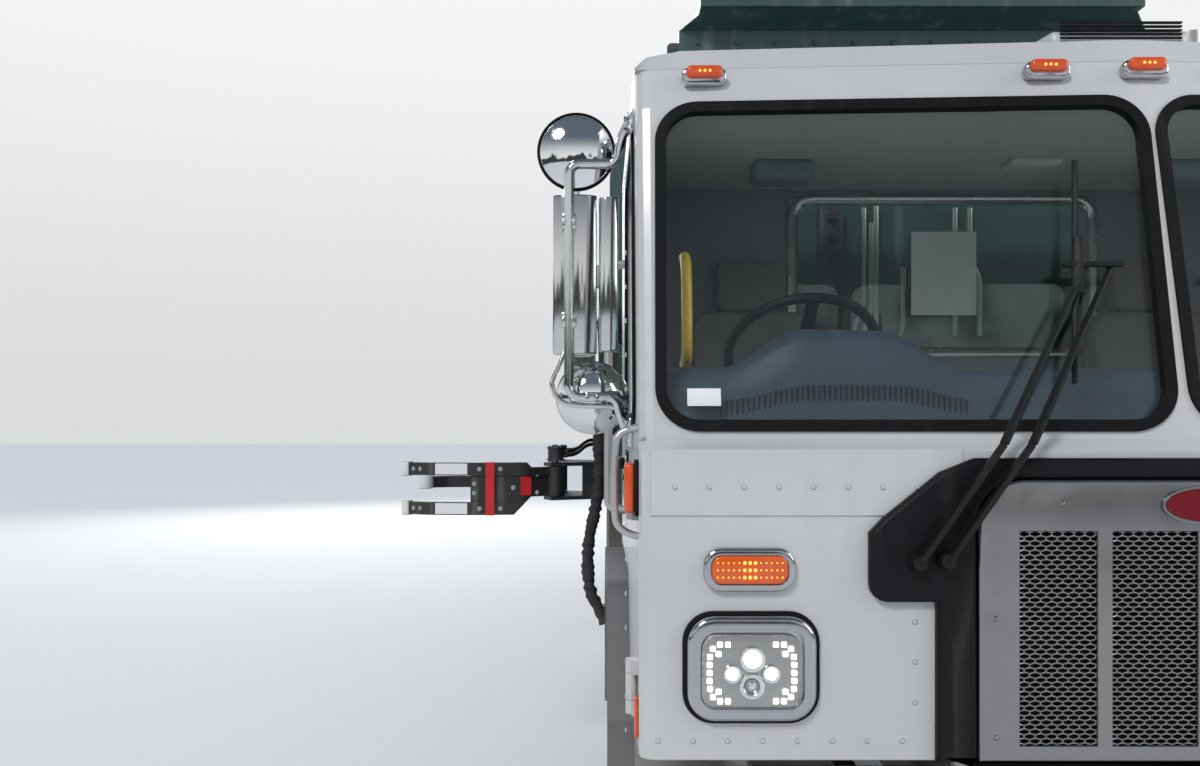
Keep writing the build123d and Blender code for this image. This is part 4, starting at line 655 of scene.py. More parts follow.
for spot, normal in cuts:
    flat = [side for side in pan.faces if side.normal.z > 0.999]
    loose = [piece for side in flat for piece in (*side.verts, *side.edges)]
    bmesh.ops.bisect_plane(pan, geom=[*dict.fromkeys(loose), *flat], plane_co=spot, plane_no=normal)
vents = []
for side in pan.faces:
    spot = side.calc_center_median()
    inside = any(low < spot.x < high for low, high in zip(vent_edges[::2], vent_edges[1::2]))
    if side.normal.z > 0.999 and inside and vent_low < spot.y + pan_middle < vent_high:
        vents.append(side)
bmesh.ops.inset_individual(pan, faces=vents, thickness=0.003, depth=-0.003)
bmesh.ops.delete(pan, geom=vents, context="FACES")
bmesh.ops.rotate(pan, matrix=turned("X", 90), verts=pan.verts)
bmesh.ops.translate(pan, vec=(middle, face - grille_proud, pan_middle), verts=pan.verts)
stainless = worn_finish("stainless sheet", (0.29, 0.29, 0.295), 0.20, metallic=1.0, dust=0.15,
                        streaks=0.25, wear=0.1, worn_tone=(0.7, 0.7, 0.7), edge=0.002, grain=0.01)
pan_tree = stainless.node_tree
pan_relief = next(node for node in pan_tree.nodes if node.type == "BUMP")
pan_shader = next(node for node in pan_tree.nodes if node.type == "BSDF_PRINCIPLED")
pan_place = place(pan_tree, "TexCoord")
hollows = place(pan_tree, "TexNoise", None, {"Vector": pan_place.outputs["Object"], "Scale": 6.0,
                                             "Detail": 1.0, "Distortion": 0.6})
dents = place(pan_tree, "Bump", None, {"Strength": 0.6, "Distance": 0.006, "Height": hollows.outputs[0],
                                       "Normal": pan_relief.outputs[0]})
pan_tree.links.new(dents.outputs[0], pan_shader.inputs["Normal"])
pan_piece = finished("grille_pan", pan, stainless, "cab")
skinned(pan_piece, 0.003)
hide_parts("grille")

hole_pitch = 0.0234
row_pitch = 0.010
web = 0.0016
mesh_steel = worn_finish("grille mesh", (0.26, 0.26, 0.26), 0.35, metallic=1.0, dust=0.3, streaks=0.1,
                         wear=0.2, worn_tone=(0.4, 0.4, 0.4), edge=0.001, grain=0.02)
lattice = bmesh.new()
for low, high in zip(vent_edges[::2], vent_edges[1::2]):
    before = set(lattice.verts)
    for row in range(int((vent_high - vent_low) / row_pitch) + 2):
        for column in range(int((high - low) / hole_pitch) + 2):
            cell = bmesh.ops.create_circle(lattice, cap_ends=True, segments=6, radius=1)["verts"]
            bmesh.ops.scale(lattice, vec=(hole_pitch / 2 / cos(radians(30)), row_pitch / 1.5, 1),
                            verts=cell)
            stagger = hole_pitch / 2 * (row % 2)
            bmesh.ops.translate(lattice, vec=(low + column * hole_pitch + stagger,
                                              vent_low + row * row_pitch, 0), verts=cell)
    made = fresh(lattice, before)
    bmesh.ops.remove_doubles(lattice, verts=made, dist=0.0004)
    for spot, outwards in (((low, 0, 0), (-1, 0, 0)), ((high, 0, 0), (1, 0, 0)),
                           ((0, vent_low, 0), (0, -1, 0)), ((0, vent_high, 0), (0, 1, 0))):
        made = fresh(lattice, before)
        bmesh.ops.bisect_plane(lattice, geom=made + rims_of(made) + sides_of(made), plane_co=spot,
                               plane_no=outwards, clear_outer=True)
holes = lattice.faces[:]
bmesh.ops.inset_individual(lattice, faces=holes, thickness=web)
bmesh.ops.delete(lattice, geom=holes, context="FACES")
bmesh.ops.rotate(lattice, matrix=turned("X", 90), verts=lattice.verts)
bmesh.ops.translate(lattice, vec=(middle, face - grille_proud + 0.004, 0), verts=lattice.verts)
skinned(finished("grille_lattice", lattice, mesh_steel, "cab"), 0.0015)

# Screen behind the mesh: a black net that keeps leaves off the radiator.
net_black = worn_finish("net black", (0.004, 0.004, 0.004), 0.9, dust=0.0, streaks=0.0, wear=0.0,
                        grain=0.3, shine=0.1)
net = bmesh.new()
slab(net, here(-0.400, -0.012, vent_low - 0.006), here(0.400, -0.008, vent_high + 0.006), 0.001, 1)
finished("grille_net", net, net_black, "cab")
pan_studs = bmesh.new()
for way in (-1, 1):
    for reach, height in ((0.299, 1.604), (0.440, 1.108), (0.440, 1.36)):
        rivet_head(pan_studs, here(way * reach, -grille_proud, height), street)
finished("grille_studs", pan_studs, stainless, "cab")


# Cowl: the black plastic moulding round the grille, in one piece with the pods that the wipers turn
# in. Its front edges are rolled over.
cowl = bmesh.new()
cowl.from_mesh(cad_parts["cowl"].data)
bmesh.ops.remove_doubles(cowl, verts=cowl.verts, dist=0.0003)
bmesh.ops.dissolve_limit(cowl, angle_limit=radians(3), verts=cowl.verts, edges=cowl.edges)
bmesh.ops.connect_verts_concave(cowl, faces=cowl.faces)
rolled = [rim for rim in cowl.edges if len(rim.link_faces) == 2 and rim.calc_face_angle(0) > radians(60)
          and min(side.normal.y for side in rim.link_faces) < -0.95
          and all(corner.co.y < face - 0.015 for corner in rim.verts)]
rounded(cowl, rolled, 0.012, 4)
bmesh.ops.triangulate(cowl, faces=[side for side in cowl.faces if len(side.verts) > 4])
cowl_piece = finished("cowl_moulding", cowl, cowl_black, "cab", 50)
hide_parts("cowl")


# Badge: an oval plate at the head of the grille, red enamel on steel in a bright rim. Its face is
# blank.
badge_height = 1.601
badge_red = worn_finish("red enamel", (0.15, 0.003, 0.007), 0.15, dust=0.03, streaks=0.03, wear=0.0,
                        grain=0.0, shine=0.3)
for name, grow, start, depth, material in (("badge_rim", 0.0, 0.0, 0.006, stainless),
                                           ("badge_enamel", -0.006, 0.004, 0.004, badge_red)):
    badge = bmesh.new()
    oval = bmesh.ops.create_cone(badge, cap_ends=True, segments=48, radius1=1, radius2=1,
                                 depth=depth)["verts"]
    bmesh.ops.scale(badge, vec=(0.090 + grow, 0.041 + grow, 1), verts=oval)
    facing_street(badge, oval, here(0, -grille_proud - start - depth / 2, badge_height))
    finished(name, badge, material, "cab")


# Wipers: on each screen two pressed arms from the cowl meet at a carrier, and the blade stands
# upright in front of the glass.
def arm_between(shape, start, end, wide, narrow, depth):
    """A flat tapered bar from one point to another, its flat side to the street."""
    start, end = Vector(start), Vector(end)
    run = end - start
    before = set(shape.verts)
    made = bmesh.ops.create_cube(shape, size=1)["verts"]
    for corner in made:
        corner.co.x *= wide if corner.co.z < 0 else narrow
    bmesh.ops.scale(shape, vec=(1, depth, run.length), verts=made)
    rounded(shape, rims_of(made), depth * 0.25, 2)
    made = fresh(shape, before)
    bmesh.ops.rotate(shape, matrix=run.to_track_quat("Z", "Y").to_matrix(), verts=made)
    bmesh.ops.translate(shape, vec=(start + end) / 2, verts=made)


screen_tilt = 0.19438
screen_foot = 1.740


def over_screen(reach, up, lift):
    """A point in front of the screen or the cowl, out from the middle by reach."""
    if up < screen_foot:
        return Vector(here(reach, -0.025 - lift, up))
    set_back = 0.025 + 0.05 * abs(reach) + (up - screen_foot) * screen_tilt
    return Vector(here(reach, set_back - lift - 0.012, up))


wiper_black = worn_finish("wiper black", (0.010, 0.010, 0.011), 0.45, dust=0.08, streaks=0.05,
                          wear=0.15, worn_tone=(0.08, 0.08, 0.08), grain=0.02, shine=0.2)
# Columns: pivot, knee and top of an arm, each across from the middle and up.
arm_runs = (((0.609, 1.480), (0.432, 1.730), (0.202, 2.122)),
            ((0.549, 1.484), (0.372, 1.730), (0.146, 2.122)))
# Columns: where a stretch of the blade starts and ends, its widths there, its lift and depth.
blade_runs = (((0.245, 1.862), (0.221, 2.118), 0.010, 0.016, 0.022, 0.014),
              ((0.221, 2.118), (0.198, 2.375), 0.016, 0.010, 0.022, 0.014),
              ((0.245, 1.860), (0.198, 2.377), 0.006, 0.006, 0.012, 0.012))
wipers = bmesh.new()
for way in (-1, 1):
    for run in arm_runs:
        points = [over_screen(way * reach, up, 0.026) for reach, up in run]
        arm_between(wipers, points[0], points[1], 0.030, 0.022, 0.012)
        arm_between(wipers, points[1], points[2], 0.020, 0.014, 0.009)
        stub(wipers, points[0] + Vector((0, 0.008, 0)), turned("X", 90), 20, 0.019, 0.015, 0.034)
    arm_between(wipers, over_screen(way * 0.252, 2.128, 0.030), over_screen(way * 0.120, 2.128, 0.030),
                0.020, 0.020, 0.012)
    arm_between(wipers, over_screen(way * 0.226, 2.06, 0.034), over_screen(way * 0.214, 2.19, 0.034),
                0.026, 0.020, 0.014)
    for start, end, wide, narrow, lift, depth in blade_runs:
        arm_between(wipers, over_screen(way * start[0], start[1], lift),
                    over_screen(way * end[0], end[1], lift), wide, narrow, depth)
wiper_piece = finished("wiper_arms", wipers, wiper_black, "cab")
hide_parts("wipers")


# Cab lining: grey padded boards clipped over the rear wall, with a bright frame round its window,
# and a pale one under the roof with a lamp, visors and loudspeakers. A yellow grab rail of
# painted tube stands by each driver's door.
lining_grey = worn_finish("grey cab lining", (0.21, 0.22, 0.245), 0.8, dust=0.0, streaks=0.0, wear=0.0,
                          edge=0.008, grain=0.3)
roof_lining = worn_finish("roof lining", (0.60, 0.58, 0.54), 0.85, dust=0.0, streaks=0.0, wear=0.0,
                          edge=0.008, grain=0.3)
yellow_rail = worn_finish("yellow grab rail", (0.78, 0.48, 0.03), 0.35, coat=0.3, dust=0.0, wear=0.2)
cab_depth = 1.570
window_half = 0.551
window_low = 2.060
window_high = 2.610
pad_gap = window_half + 0.02
# Columns: a pad's lower right and upper left corner, across and up.
rear_pads = (((-1.13, 1.72), (-pad_gap, 2.665)), ((pad_gap, 1.72), (1.13, 2.665)),
             ((-pad_gap, 1.72), (pad_gap, window_low - 0.02)),
             ((-pad_gap, window_high + 0.02), (pad_gap, 2.665)))
rear = bmesh.new()
for low, high in rear_pads:
    slab(rear, here(low[0], cab_depth - 0.014, low[1]), here(high[0], cab_depth - 0.001, high[1]),
         0.004)
finished("rear_lining", rear, lining_grey, "cab")
rear_trim = bmesh.new()
ring_face = upright_plate(rear_trim, here(0, cab_depth - 0.014, (window_low + window_high) / 2),
                          2 * window_half + 0.06, window_high - window_low + 0.06, 0.010, 0.09, 0.003)
bmesh.ops.inset_region(rear_trim, faces=[ring_face], thickness=0.035, use_even_offset=True)
bmesh.ops.delete(rear_trim, geom=[ring_face], context="FACES")
backs = [side for side in rear_trim.faces if side.normal.y > 0.99]
bmesh.ops.delete(rear_trim, geom=backs, context="FACES")
skinned(finished("rear_window_trim", rear_trim, lamp_silver, "cab"), 0.003)
overhead = bmesh.new()
slab(overhead, here(-1.12, 0.32, 2.655), here(1.12, cab_depth - 0.02, 2.672), 0.006)
finished("roof_lining", overhead, roof_lining, "cab")
extras = bmesh.new()
for way in (-1, 1):
    slab(extras, here(way * 0.30, 0.30, 2.545), here(way * 0.98, 0.325, 2.650), 0.010, 3)
    slab(extras, here(way * 0.57, 1.12, 2.590), here(way * 0.77, 1.26, 2.656), 0.018, 3)
finished("visors_and_speakers", extras, lining_grey, "cab")
dome = bmesh.new()
slab(dome, here(0.07, 1.10, 2.630), here(0.24, 1.20, 2.656), 0.012, 3)
finished("roof_lamp", dome, roof_lining, "cab")


def rail(name, points, radius, material, body, sharp=60, fineness=10):
    """A bent tube through points, its turns drawn in by one smooth curve."""
    curve = bpy.data.curves.new(name, "CURVE")
    curve.dimensions = "3D"
    curve.bevel_depth = radius
    curve.bevel_resolution = 4
    curve.use_fill_caps = True
    spline = curve.splines.new("NURBS")
    spline.points.add(len(points) - 1)
    for knot, point in zip(spline.points, points):
        knot.co = (*point, 1)
    spline.order_u = 3
    spline.use_endpoint_u = True
    spline.resolution_u = fineness
    holder = bpy.data.objects.new(name, curve)
    mesh = bpy.data.meshes.new_from_object(holder)
    bpy.data.objects.remove(holder)
    bpy.data.curves.remove(curve)
    shape = bmesh.new()
    shape.from_mesh(mesh)
    bpy.data.meshes.remove(mesh)
    bmesh.ops.remove_doubles(shape, verts=shape.verts, dist=0.00005)
    bmesh.ops.recalc_face_normals(shape, faces=shape.faces)
    return finished(name, shape, material, body, sharp)


yellow_run = ((0.44, 1.93), (0.39, 1.93), (0.36, 1.98), (0.38, 2.16), (0.42, 2.21), (0.46, 2.21))
for side, way in both_sides:
    rail(f"yellow_rail_{side}", [here(way * 1.06, along, up) for along, up in yellow_run], 0.014,
         yellow_rail, "cab")


# Seats: on each side an air-sprung base with a cushion, a back and a head rest, all covered in
# grey-beige cloth with a sewn welt and three channels.
seat_cloth = worn_finish("seat cloth", (0.17, 0.16, 0.15), 0.9, dust=0.0, streaks=0.0, wear=0.0,
                         edge=0.008, grain=0.6)


def pad(shape, low, high, crown, channels, lean=0.0):
    """A stuffed pad between two corners: its faces bulge, its sides draw in and sewn channels
    run across its broad faces."""
    low, high = Vector(low), Vector(high)
    half, centre = (high - low) / 2, (low + high) / 2
    before = set(shape.verts)
    corners = bmesh.ops.create_cube(shape, size=2)["verts"]
    bmesh.ops.subdivide_edges(shape, edges=rims_of(corners), cuts=15, use_grid_fill=True)
    made = fresh(shape, before)
    thin = min(range(3), key=lambda axis: half[axis])
    for corner in made:
        u = corner.co.copy()
        broad = [axis for axis in range(3) if axis != thin]
        lift = (1 - u[broad[0]] ** 4) * (1 - u[broad[1]] ** 4)
        groove = 0.0
        if channels and abs(u[thin]) > 0.99 and abs(u[broad[0]]) < 0.86 and abs(u[broad[1]]) < 0.9:
            wave = abs(sin(pi * channels * (u[0] + 1) / 2))
            groove = 0.16 * (1 - wave) ** 6
        round_off = 1 - 0.10 * (abs(u[broad[0]]) ** 6) * (abs(u[broad[1]]) ** 6)
        corner.co[thin] = u[thin] * (half[thin] * (1 - crown * 0.5 * (1 - lift) - groove))
        for axis in broad:
            other = broad[0] if axis == broad[1] else broad[1]
            corner.co[axis] = u[axis] * half[axis] * round_off * (1 - 0.02 * (1 - u[other] ** 2)
                                                                  - 0.03 * u[thin] ** 4)
    if lean:
        bmesh.ops.rotate(shape, matrix=turned("X", lean), verts=made)
    bmesh.ops.translate(shape, vec=centre, verts=made)


seat_reach = 0.725
for side, way in both_sides:
    seat = way * seat_reach
    base = bmesh.new()
    slab(base, here(seat - 0.19, 1.00, 1.382), here(seat + 0.19, 1.40, 1.485), 0.012)
    for step in range(5):
        low = 1.392 + step * 0.019
        slab(base, here(seat - 0.205, 0.99, low), here(seat + 0.205, 1.41, low + 0.010), 0.004)
    finished(f"seat_base_{side}", base, cowl_black, "cab")
    cushion = bmesh.new()
    pad(cushion, here(seat - 0.235, 0.925, 1.485), here(seat + 0.235, 1.445, 1.618), 0.5, 3)
    cushion_piece = finished(f"seat_cushion_{side}", cushion, seat_cloth, "cab")
    backrest = bmesh.new()
    pad(backrest, here(seat - 0.225, 1.385, 1.575), here(seat + 0.225, 1.515, 2.195), 0.5, 3, -8)
    back_piece = finished(f"seat_back_{side}", backrest, seat_cloth, "cab")
    rest = bmesh.new()
    pad(rest, here(seat - 0.13, 1.455, 2.190), here(seat + 0.13, 1.545, 2.385), 0.6, 0, -6)
    rest_piece = finished(f"seat_head_rest_{side}", rest, seat_cloth, "cab")
    if side == "right":
        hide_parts("seats")


# Tyres: radial truck tyres, ribbed at the front and lugged on the drive axles, each spun from its
# section, with its grooves and sipes sunk into the tread.
tyre_radius = 0.540
bead_radius = 0.286
tread_depth = 0.013
tyre_steps = 72


def tyre_section(half, bead, grooves):
    """The tyre's outline across and out from the axle, from one bead to the other."""
    points = [(-bead, bead_radius + 0.004), (-bead - 0.002, bead_radius + 0.022),
              (-bead - 0.014, 0.330), (-half + 0.012, 0.375), (-half, 0.425), (-half + 0.001, 0.468),
              (-half + 0.007, tyre_radius - 0.046), (-half + 0.014, tyre_radius - 0.022)]
    tread = half - 0.028
    points.append((-tread, tyre_radius - 0.006))
    for place in grooves:
        crown = tyre_radius - 0.005 * (place / tread) ** 2
        points += [(place - 0.006, crown), (place - 0.003, crown - tread_depth),
                   (place + 0.003, crown - tread_depth), (place + 0.006, crown)]
    points.append((tread, tyre_radius - 0.006))
    return points + [(-across, out) for across, out in reversed(points[:8])]


def spun_tyre(shape, centre, half, bead, grooves, lugged):
    """A tyre round the X axis at a centre, with blocks cut into its shoulders."""
    before = set(shape.verts)
    points = [shape.verts.new((across, 0, out)) for across, out in tyre_section(half, bead, grooves)]
    edges = [shape.edges.new(pair) for pair in zip(points, points[1:] + points[:1])]
    bmesh.ops.spin(shape, geom=points + edges, cent=(0, 0, 0), axis=(1, 0, 0), dvec=(0, 0, 0),
                   angle=2 * pi, steps=tyre_steps, use_merge=True, use_duplicate=False)
    made = fresh(shape, before)
    bmesh.ops.remove_doubles(shape, verts=made, dist=0.00002)
    sides = sides_of(fresh(shape, before))
    bmesh.ops.recalc_face_normals(shape, faces=sides)
    cuts = []
    for side in sides:
        spot = side.calc_center_median()
        out = hypot(spot.y, spot.z)
        turn = int((Vector((spot.y, spot.z)).angle_signed(Vector((0, 1))) + pi) / (2 * pi) * tyre_steps)
        shoulder = abs(spot.x) > half - 0.075 and out > tyre_radius - 0.030 and abs(side.normal.x) < 0.9
        centre_rib = out > tyre_radius - 0.009 and abs(spot.x) < half - 0.06
        if lugged and ((shoulder and turn % 3 == 0) or (centre_rib and turn % 3 == 1)):
            cuts.append(side)
        if not lugged and shoulder and turn % 4 == 0:
            cuts.append(side)
    bmesh.ops.inset_individual(shape, faces=cuts, thickness=0.0035 if lugged else 0.008,
                               depth=-0.009 if lugged else -0.005)
    made = fresh(shape, before)
    bmesh.ops.translate(shape, vec=centre, verts=made)


front_reach = 1.035
twin_reach = (0.755, 1.075)
front_grooves = (-0.088, -0.032, 0.032, 0.088)
drive_grooves = (-0.06, 0.0, 0.06)
axle_places = {"front": 1.330, "middle": 6.000, "rear": 7.370}


def wheel_body(axle, side):
    """The body that a wheel's pieces ride on."""
    return f"front_wheel_{side}" if axle == "front" else f"{axle}_wheels_{side}"


for side, way in both_sides:
    for axle, along in axle_places.items():
        steered = axle == "front"
        tyres = bmesh.new()
        for reach in (front_reach,) if steered else twin_reach:
            spun_tyre(tyres, here(way * reach, along, tyre_radius), 0.150 if steered else 0.140,
                      0.103, front_grooves if steered else drive_grooves, not steered)
        node = f"front_tyre_{side}" if steered else f"{axle}_tyres_{side}"
        wheel = finished(f"{axle}_tread_{side}", tyres, tyre_black, wheel_body(axle, side), 40)
        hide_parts(node)


# Wheel nuts: ten plated steel nuts, each on its stud, hold every pressed disc to its hub. They
# stand in one ring round the axle's end.
nut_steel = worn_finish("wheel nut steel", (0.30, 0.29, 0.28), 0.4, metallic=0.9, dust=0.6, wear=0.3,
                        worn_tone=(0.3, 0.18, 0.12), edge=0.001, grain=0.1)
nut_circle = 0.1675
nut_count = 10
for side, way in both_sides:
    for axle, along in axle_places.items():
        seat = 1.145 if axle == "front" else 0.929
        nuts = bmesh.new()
        for number in range(nut_count):
            angle = 2 * pi * number / nut_count
            for wide, long in ((0.0185, 0.026), (0.0105, 0.040)):
                spot = here(way * (seat + long / 2), along + nut_circle * sin(angle),
                            tyre_radius + nut_circle * cos(angle))
                stub(nuts, spot, turned("Y", 90 * way), 6 if wide > 0.015 else 10, wide, wide * 0.93,
                     long)
        finished(f"{axle}_nuts_{side}", nuts, nut_steel, wheel_body(axle, side), 30)


# Grab loops at the cab's front corners: bent steel tube that guards the amber side turn lamps,
# with a low marker lamp under each.
rail_steel = worn_finish("grab rail steel", (0.50, 0.50, 0.50), 0.3, metallic=0.9, dust=0.2, wear=0.2,
                         edge=0.001, grain=0.03)
cab_half = 1.195


def on_wall(way, out, along, up):
    """A point on one side of the cab, out from its wall."""
    return here(way * (cab_half + out), along, up)


# Columns: out from the wall and up.
loop_run = ((0, 1.765), (0.046, 1.760), (0.054, 1.710), (0.054, 1.590), (0.046, 1.535), (0, 1.525))
for side, way in both_sides:
    foot = bmesh.new()
    slab(foot, on_wall(way, 0, 0.036, 1.570), on_wall(way, 0.010, 0.088, 1.695), 0.004, 2)
    finished(f"side_marker_foot_{side}", foot, cowl_black, "cab")
    lens = bmesh.new()
    slab(lens, on_wall(way, 0.008, 0.040, 1.576), on_wall(way, 0.032, 0.084, 1.689), 0.011, 4)
    finished(f"side_marker_{side}", lens, marker_lens, "cab")
    rail(f"corner_loop_{side}", [on_wall(way, out, 0.062, up) for out, up in loop_run], 0.0085,
         rail_steel, "cab")
    marker = bmesh.new()
    slab(marker, on_wall(way, 0, 0.050, 1.080), on_wall(way, 0.009, 0.085, 1.170), 0.003, 2)
    finished(f"low_marker_{side}", marker, marker_lens, "cab")


# Roof unit: a wedge-shaped vent box of white painted steel, bolted on over the screens, with black
# plastic slats across its front end.
vent = bmesh.new()
slab(vent, here(-0.170, 0.300, 2.690), here(0.170, 0.620, 2.785), 0.014, 3)
for corner in vent.verts:
    corner.co.z -= 0.045 * max(0.0, (face + 0.460 - corner.co.y) / 0.160) * (corner.co.z > 2.72)
finished("roof_vent", vent, cab_white, "cab")
ends = bmesh.new()
for number in range(7):
    low = 2.702 + number * 0.0095
    slab(ends, here(-0.150, 0.296, low), here(0.150, 0.306, low + 0.0045), 0.001, 1)
finished("roof_vent_slats", ends, cowl_black, "cab")


# Arm: black painted steel where it works round a cart. The near gripper carries white reflecting
# patches and red bands, and the fingers end in white plastic rollers.
arm_black = worn_finish("black arm paint", (0.014, 0.014, 0.015), 0.4, coat=0.1, dust=0.25, streaks=0.3,
                        wear=0.7, worn_tone=(0.16, 0.155, 0.15), edge=0.004, grain=0.05)
dress(arm_black, "swing_arm", "lift_carriage", "gripper_near", "gripper_far")
roller_white = worn_finish("white roller plastic", (0.66, 0.66, 0.64), 0.45, dust=0.2, wear=0.3,
                           worn_tone=(0.3, 0.3, 0.3), edge=0.003)
patch_white = worn_finish("white reflecting patch", (0.72, 0.72, 0.72), 0.3, dust=0.15, streaks=0.2,
                          wear=0.0, grain=0.1)
band_red = worn_finish("red band", (0.60, 0.018, 0.02), 0.35, dust=0.1, streaks=0.1, wear=0.1)
arm_along = 2.950
hinge_reach = -1.500
hinge_shift = 0.215
tip_reach = -2.225
# Columns: across, and how far the near finger's middle line bows away from its hinge there.
finger_line = ((hinge_reach, 0.0), (-1.640, 0.088), (-1.880, 0.118), (-2.120, 0.096),
               (tip_reach, 0.040))


def by_arm(across, shift, up):
    """A point of the arm: across from the truck's middle, shifted along from the arm's middle."""
    return here(across, arm_along + shift, up)


def finger_shift(across):
    """How far the near finger's middle line is shifted from the arm's middle at a place across."""
    for (start, start_bow), (end, end_bow) in zip(finger_line, finger_line[1:]):
        if end <= across <= start:
            part = (across - start) / (end - start)
            return -hinge_shift - start_bow - (end_bow - start_bow) * part


def on_finger(shape, start, end, low, high, rise, backs=0.018):
    """A thin plate on the near finger's outer side, from start to end across and low to high."""
    for corner in bmesh.ops.create_cube(shape, size=1)["verts"]:
        across = start if corner.co.x > 0 else end
        out = backs + (rise if corner.co.y < 0 else -0.001)
        corner.co = by_arm(across, finger_shift(across) - out, high if corner.co.z > 0 else low)


patches = bmesh.new()
for low, high in ((1.5455, 1.5985), (1.3545, 1.4075)):
    on_finger(patches, -1.919, -2.076, low, high, 0.0025)
finished("gripper_patches", patches, patch_white, "gripper_near")
bands = bmesh.new()
on_finger(bands, -1.789, -1.831, 1.348, 1.605, 0.004)
on_finger(bands, -1.614, -1.663, 1.443, 1.535, 0.006, 0.007)
finished("gripper_bands", bands, band_red, "gripper_near")
bolt_steel = worn_finish("bolt steel", (0.42, 0.42, 0.42), 0.35, metallic=0.9, dust=0.2, wear=0.2,
                         edge=0.001)


def bolt(shape, at, facing, radius=0.010, rise=0.009):
    """A hexagon head on a round washer."""
    for sides, wide, start, end in ((14, radius * 1.5, -0.0005, 0.002), (6, radius, 0.0015, rise)):
        stub(shape, Vector(at) + Vector(facing) * (start + end) / 2, turn_to(facing), sides, wide,
             wide * 0.96, end - start)


bolts = bmesh.new()
for reach in (-1.760, -1.860, -2.150, -2.185):
    for height in (1.381, 1.572):
        bolt(bolts, by_arm(reach, finger_shift(reach) - 0.0185, height), street, 0.008)
for reach, height in ((-1.886, 1.455), (-1.886, 1.500), (-1.700, 1.480), (-1.590, 1.545),
                      (-1.590, 1.455)):
    bolt(bolts, by_arm(reach, finger_shift(reach) - 0.0075, height), street, 0.008)
finished("gripper_bolts", bolts, bolt_steel, "gripper_near")
for name, way, levels, radius in (("near", -1, ((1.350, 1.412), (1.541, 1.603)), 0.026),
                                  ("far", 1, ((1.447, 1.509),), 0.038)):
    rollers = bmesh.new()
    for low, high in levels:
        before = set(rollers.verts)
        made = bmesh.ops.create_cone(rollers, cap_ends=True, segments=28, radius1=radius + 0.0015,
                                     radius2=radius + 0.0015, depth=high - low + 0.010)["verts"]
        rims = [rim for rim in rims_of(made) if abs(rim.verts[0].co.z - rim.verts[1].co.z) < 1e-6]
        rounded(rollers, rims, 0.006, 3)
        bmesh.ops.translate(rollers, vec=by_arm(tip_reach, way * 0.255, (low + high) / 2),
                            verts=fresh(rollers, before))
    finished(f"gripper_rollers_{name}", rollers, roller_white, f"gripper_{name}")
head_bolts = bmesh.new()
for way in (-1, 1):
    for reach, shift, radius in ((hinge_reach, hinge_shift, 0.016), (-1.30, 0.09, 0.010),
                                 (-1.30, 0.05, 0.010)):
        bolt(head_bolts, by_arm(reach, way * shift, 1.600), (0, 0, 1), radius, 0.014)
    for height in (2.10, 1.90, 1.70, 1.50):
        bolt(head_bolts, by_arm(-1.24, way * 0.120, height), (0, way, 0), 0.010)
finished("swing_arm_bolts", head_bolts, bolt_steel, "swing_arm")
# Columns: across from the truck's middle, along from the arm's middle, up from the hose's fitting.
drum_hose_run = ((-1.445, 0.205, 0), (-1.400, 0.200, 0), (-1.345, 0.165, 0.055),
                 (-1.285, 0.105, 0.050), (-1.235, 0.075, 0.090), (-1.222, 0.065, 0.220))
drum_head = 1.676
drums = bmesh.new()
for way in (-1, 1):
    for low, high, radius in ((1.612, 1.618, 0.046), (1.618, 1.668, 0.038), (1.668, drum_head, 0.043)):
        stub(drums, by_arm(hinge_reach, way * hinge_shift, (low + high) / 2), Matrix.Identity(3), 32,
             radius, radius, high - low)
    for number in range(6):
        angle = pi * number / 3
        bolt(drums, by_arm(hinge_reach + 0.030 * cos(angle), way * hinge_shift + 0.030 * sin(angle),
                           drum_head), (0, 0, 1), 0.005, 0.006)
    for height in (1.634, 1.656):
        bolt(drums, by_arm(-1.463, way * 0.205, height), (1, 0, 0), 0.009, 0.022)
        rail(f"drum_hose_{'near' if way < 0 else 'far'}_{round(height * 1000)}",
             [by_arm(reach, way * shift, height + rise) for reach, shift, rise in drum_hose_run],
             0.008, rubber_black, "swing_arm")
finished("gripper_drums", drums, arm_black, "swing_arm")
for number, (shift, sag) in enumerate(((-0.055, 0.0), (-0.018, 0.02), (0.020, 0.01), (0.057, 0.03))):
    swing_hose_run = ((-1.215, 2.02), (-1.225, 1.95), (-1.228 - sag, 1.80), (-1.222, 1.66),
                      (-1.245, 1.605), (-1.280, 1.598))
    rail(f"swing_hose_{number}", [by_arm(reach, shift, up) for reach, up in swing_hose_run], 0.011,
         rubber_black, "swing_arm")


# Hose sleeve: a braided nylon sleeve over the arm's hoses, strapped to the mast above and below.
# It is slack, so it hangs in a bow, with folds across it where it bends.
sleeve_cloth = worn_finish("braided sleeve", (0.012, 0.012, 0.014), 0.75, dust=0.2, streaks=0.0,
                           wear=0.2, worn_tone=(0.06, 0.06, 0.06), edge=0.006, grain=0.5)
sleeve_route = ((-1.285, 1.832), (-1.285, 1.700), (-1.283, 1.500), (-1.305, 1.360), (-1.336, 1.230),
                (-1.341, 1.080), (-1.325, 0.960), (-1.275, 0.880), (-1.252, 0.828))
sleeve = rail("arm_hose_sleeve", [here(x, 2.625, z) for x, z in sleeve_route], 0.031, sleeve_cloth,
              "mast", 80, 26)
folds = bmesh.new()
folds.from_mesh(sleeve.data)
for corner in folds.verts:
    push = 0.0035 * sin(corner.co.z * 83 + 2.2 * sin(corner.co.z * 31 + corner.co.y * 40))
    push += 0.0025 * sin(corner.co.z * 190 + corner.co.x * 120 + 1.3 * sin(corner.co.y * 150))
    corner.co += corner.normal * (push - 0.003)
folds.to_mesh(sleeve.data)
folds.free()
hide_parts("hose_sleeve")


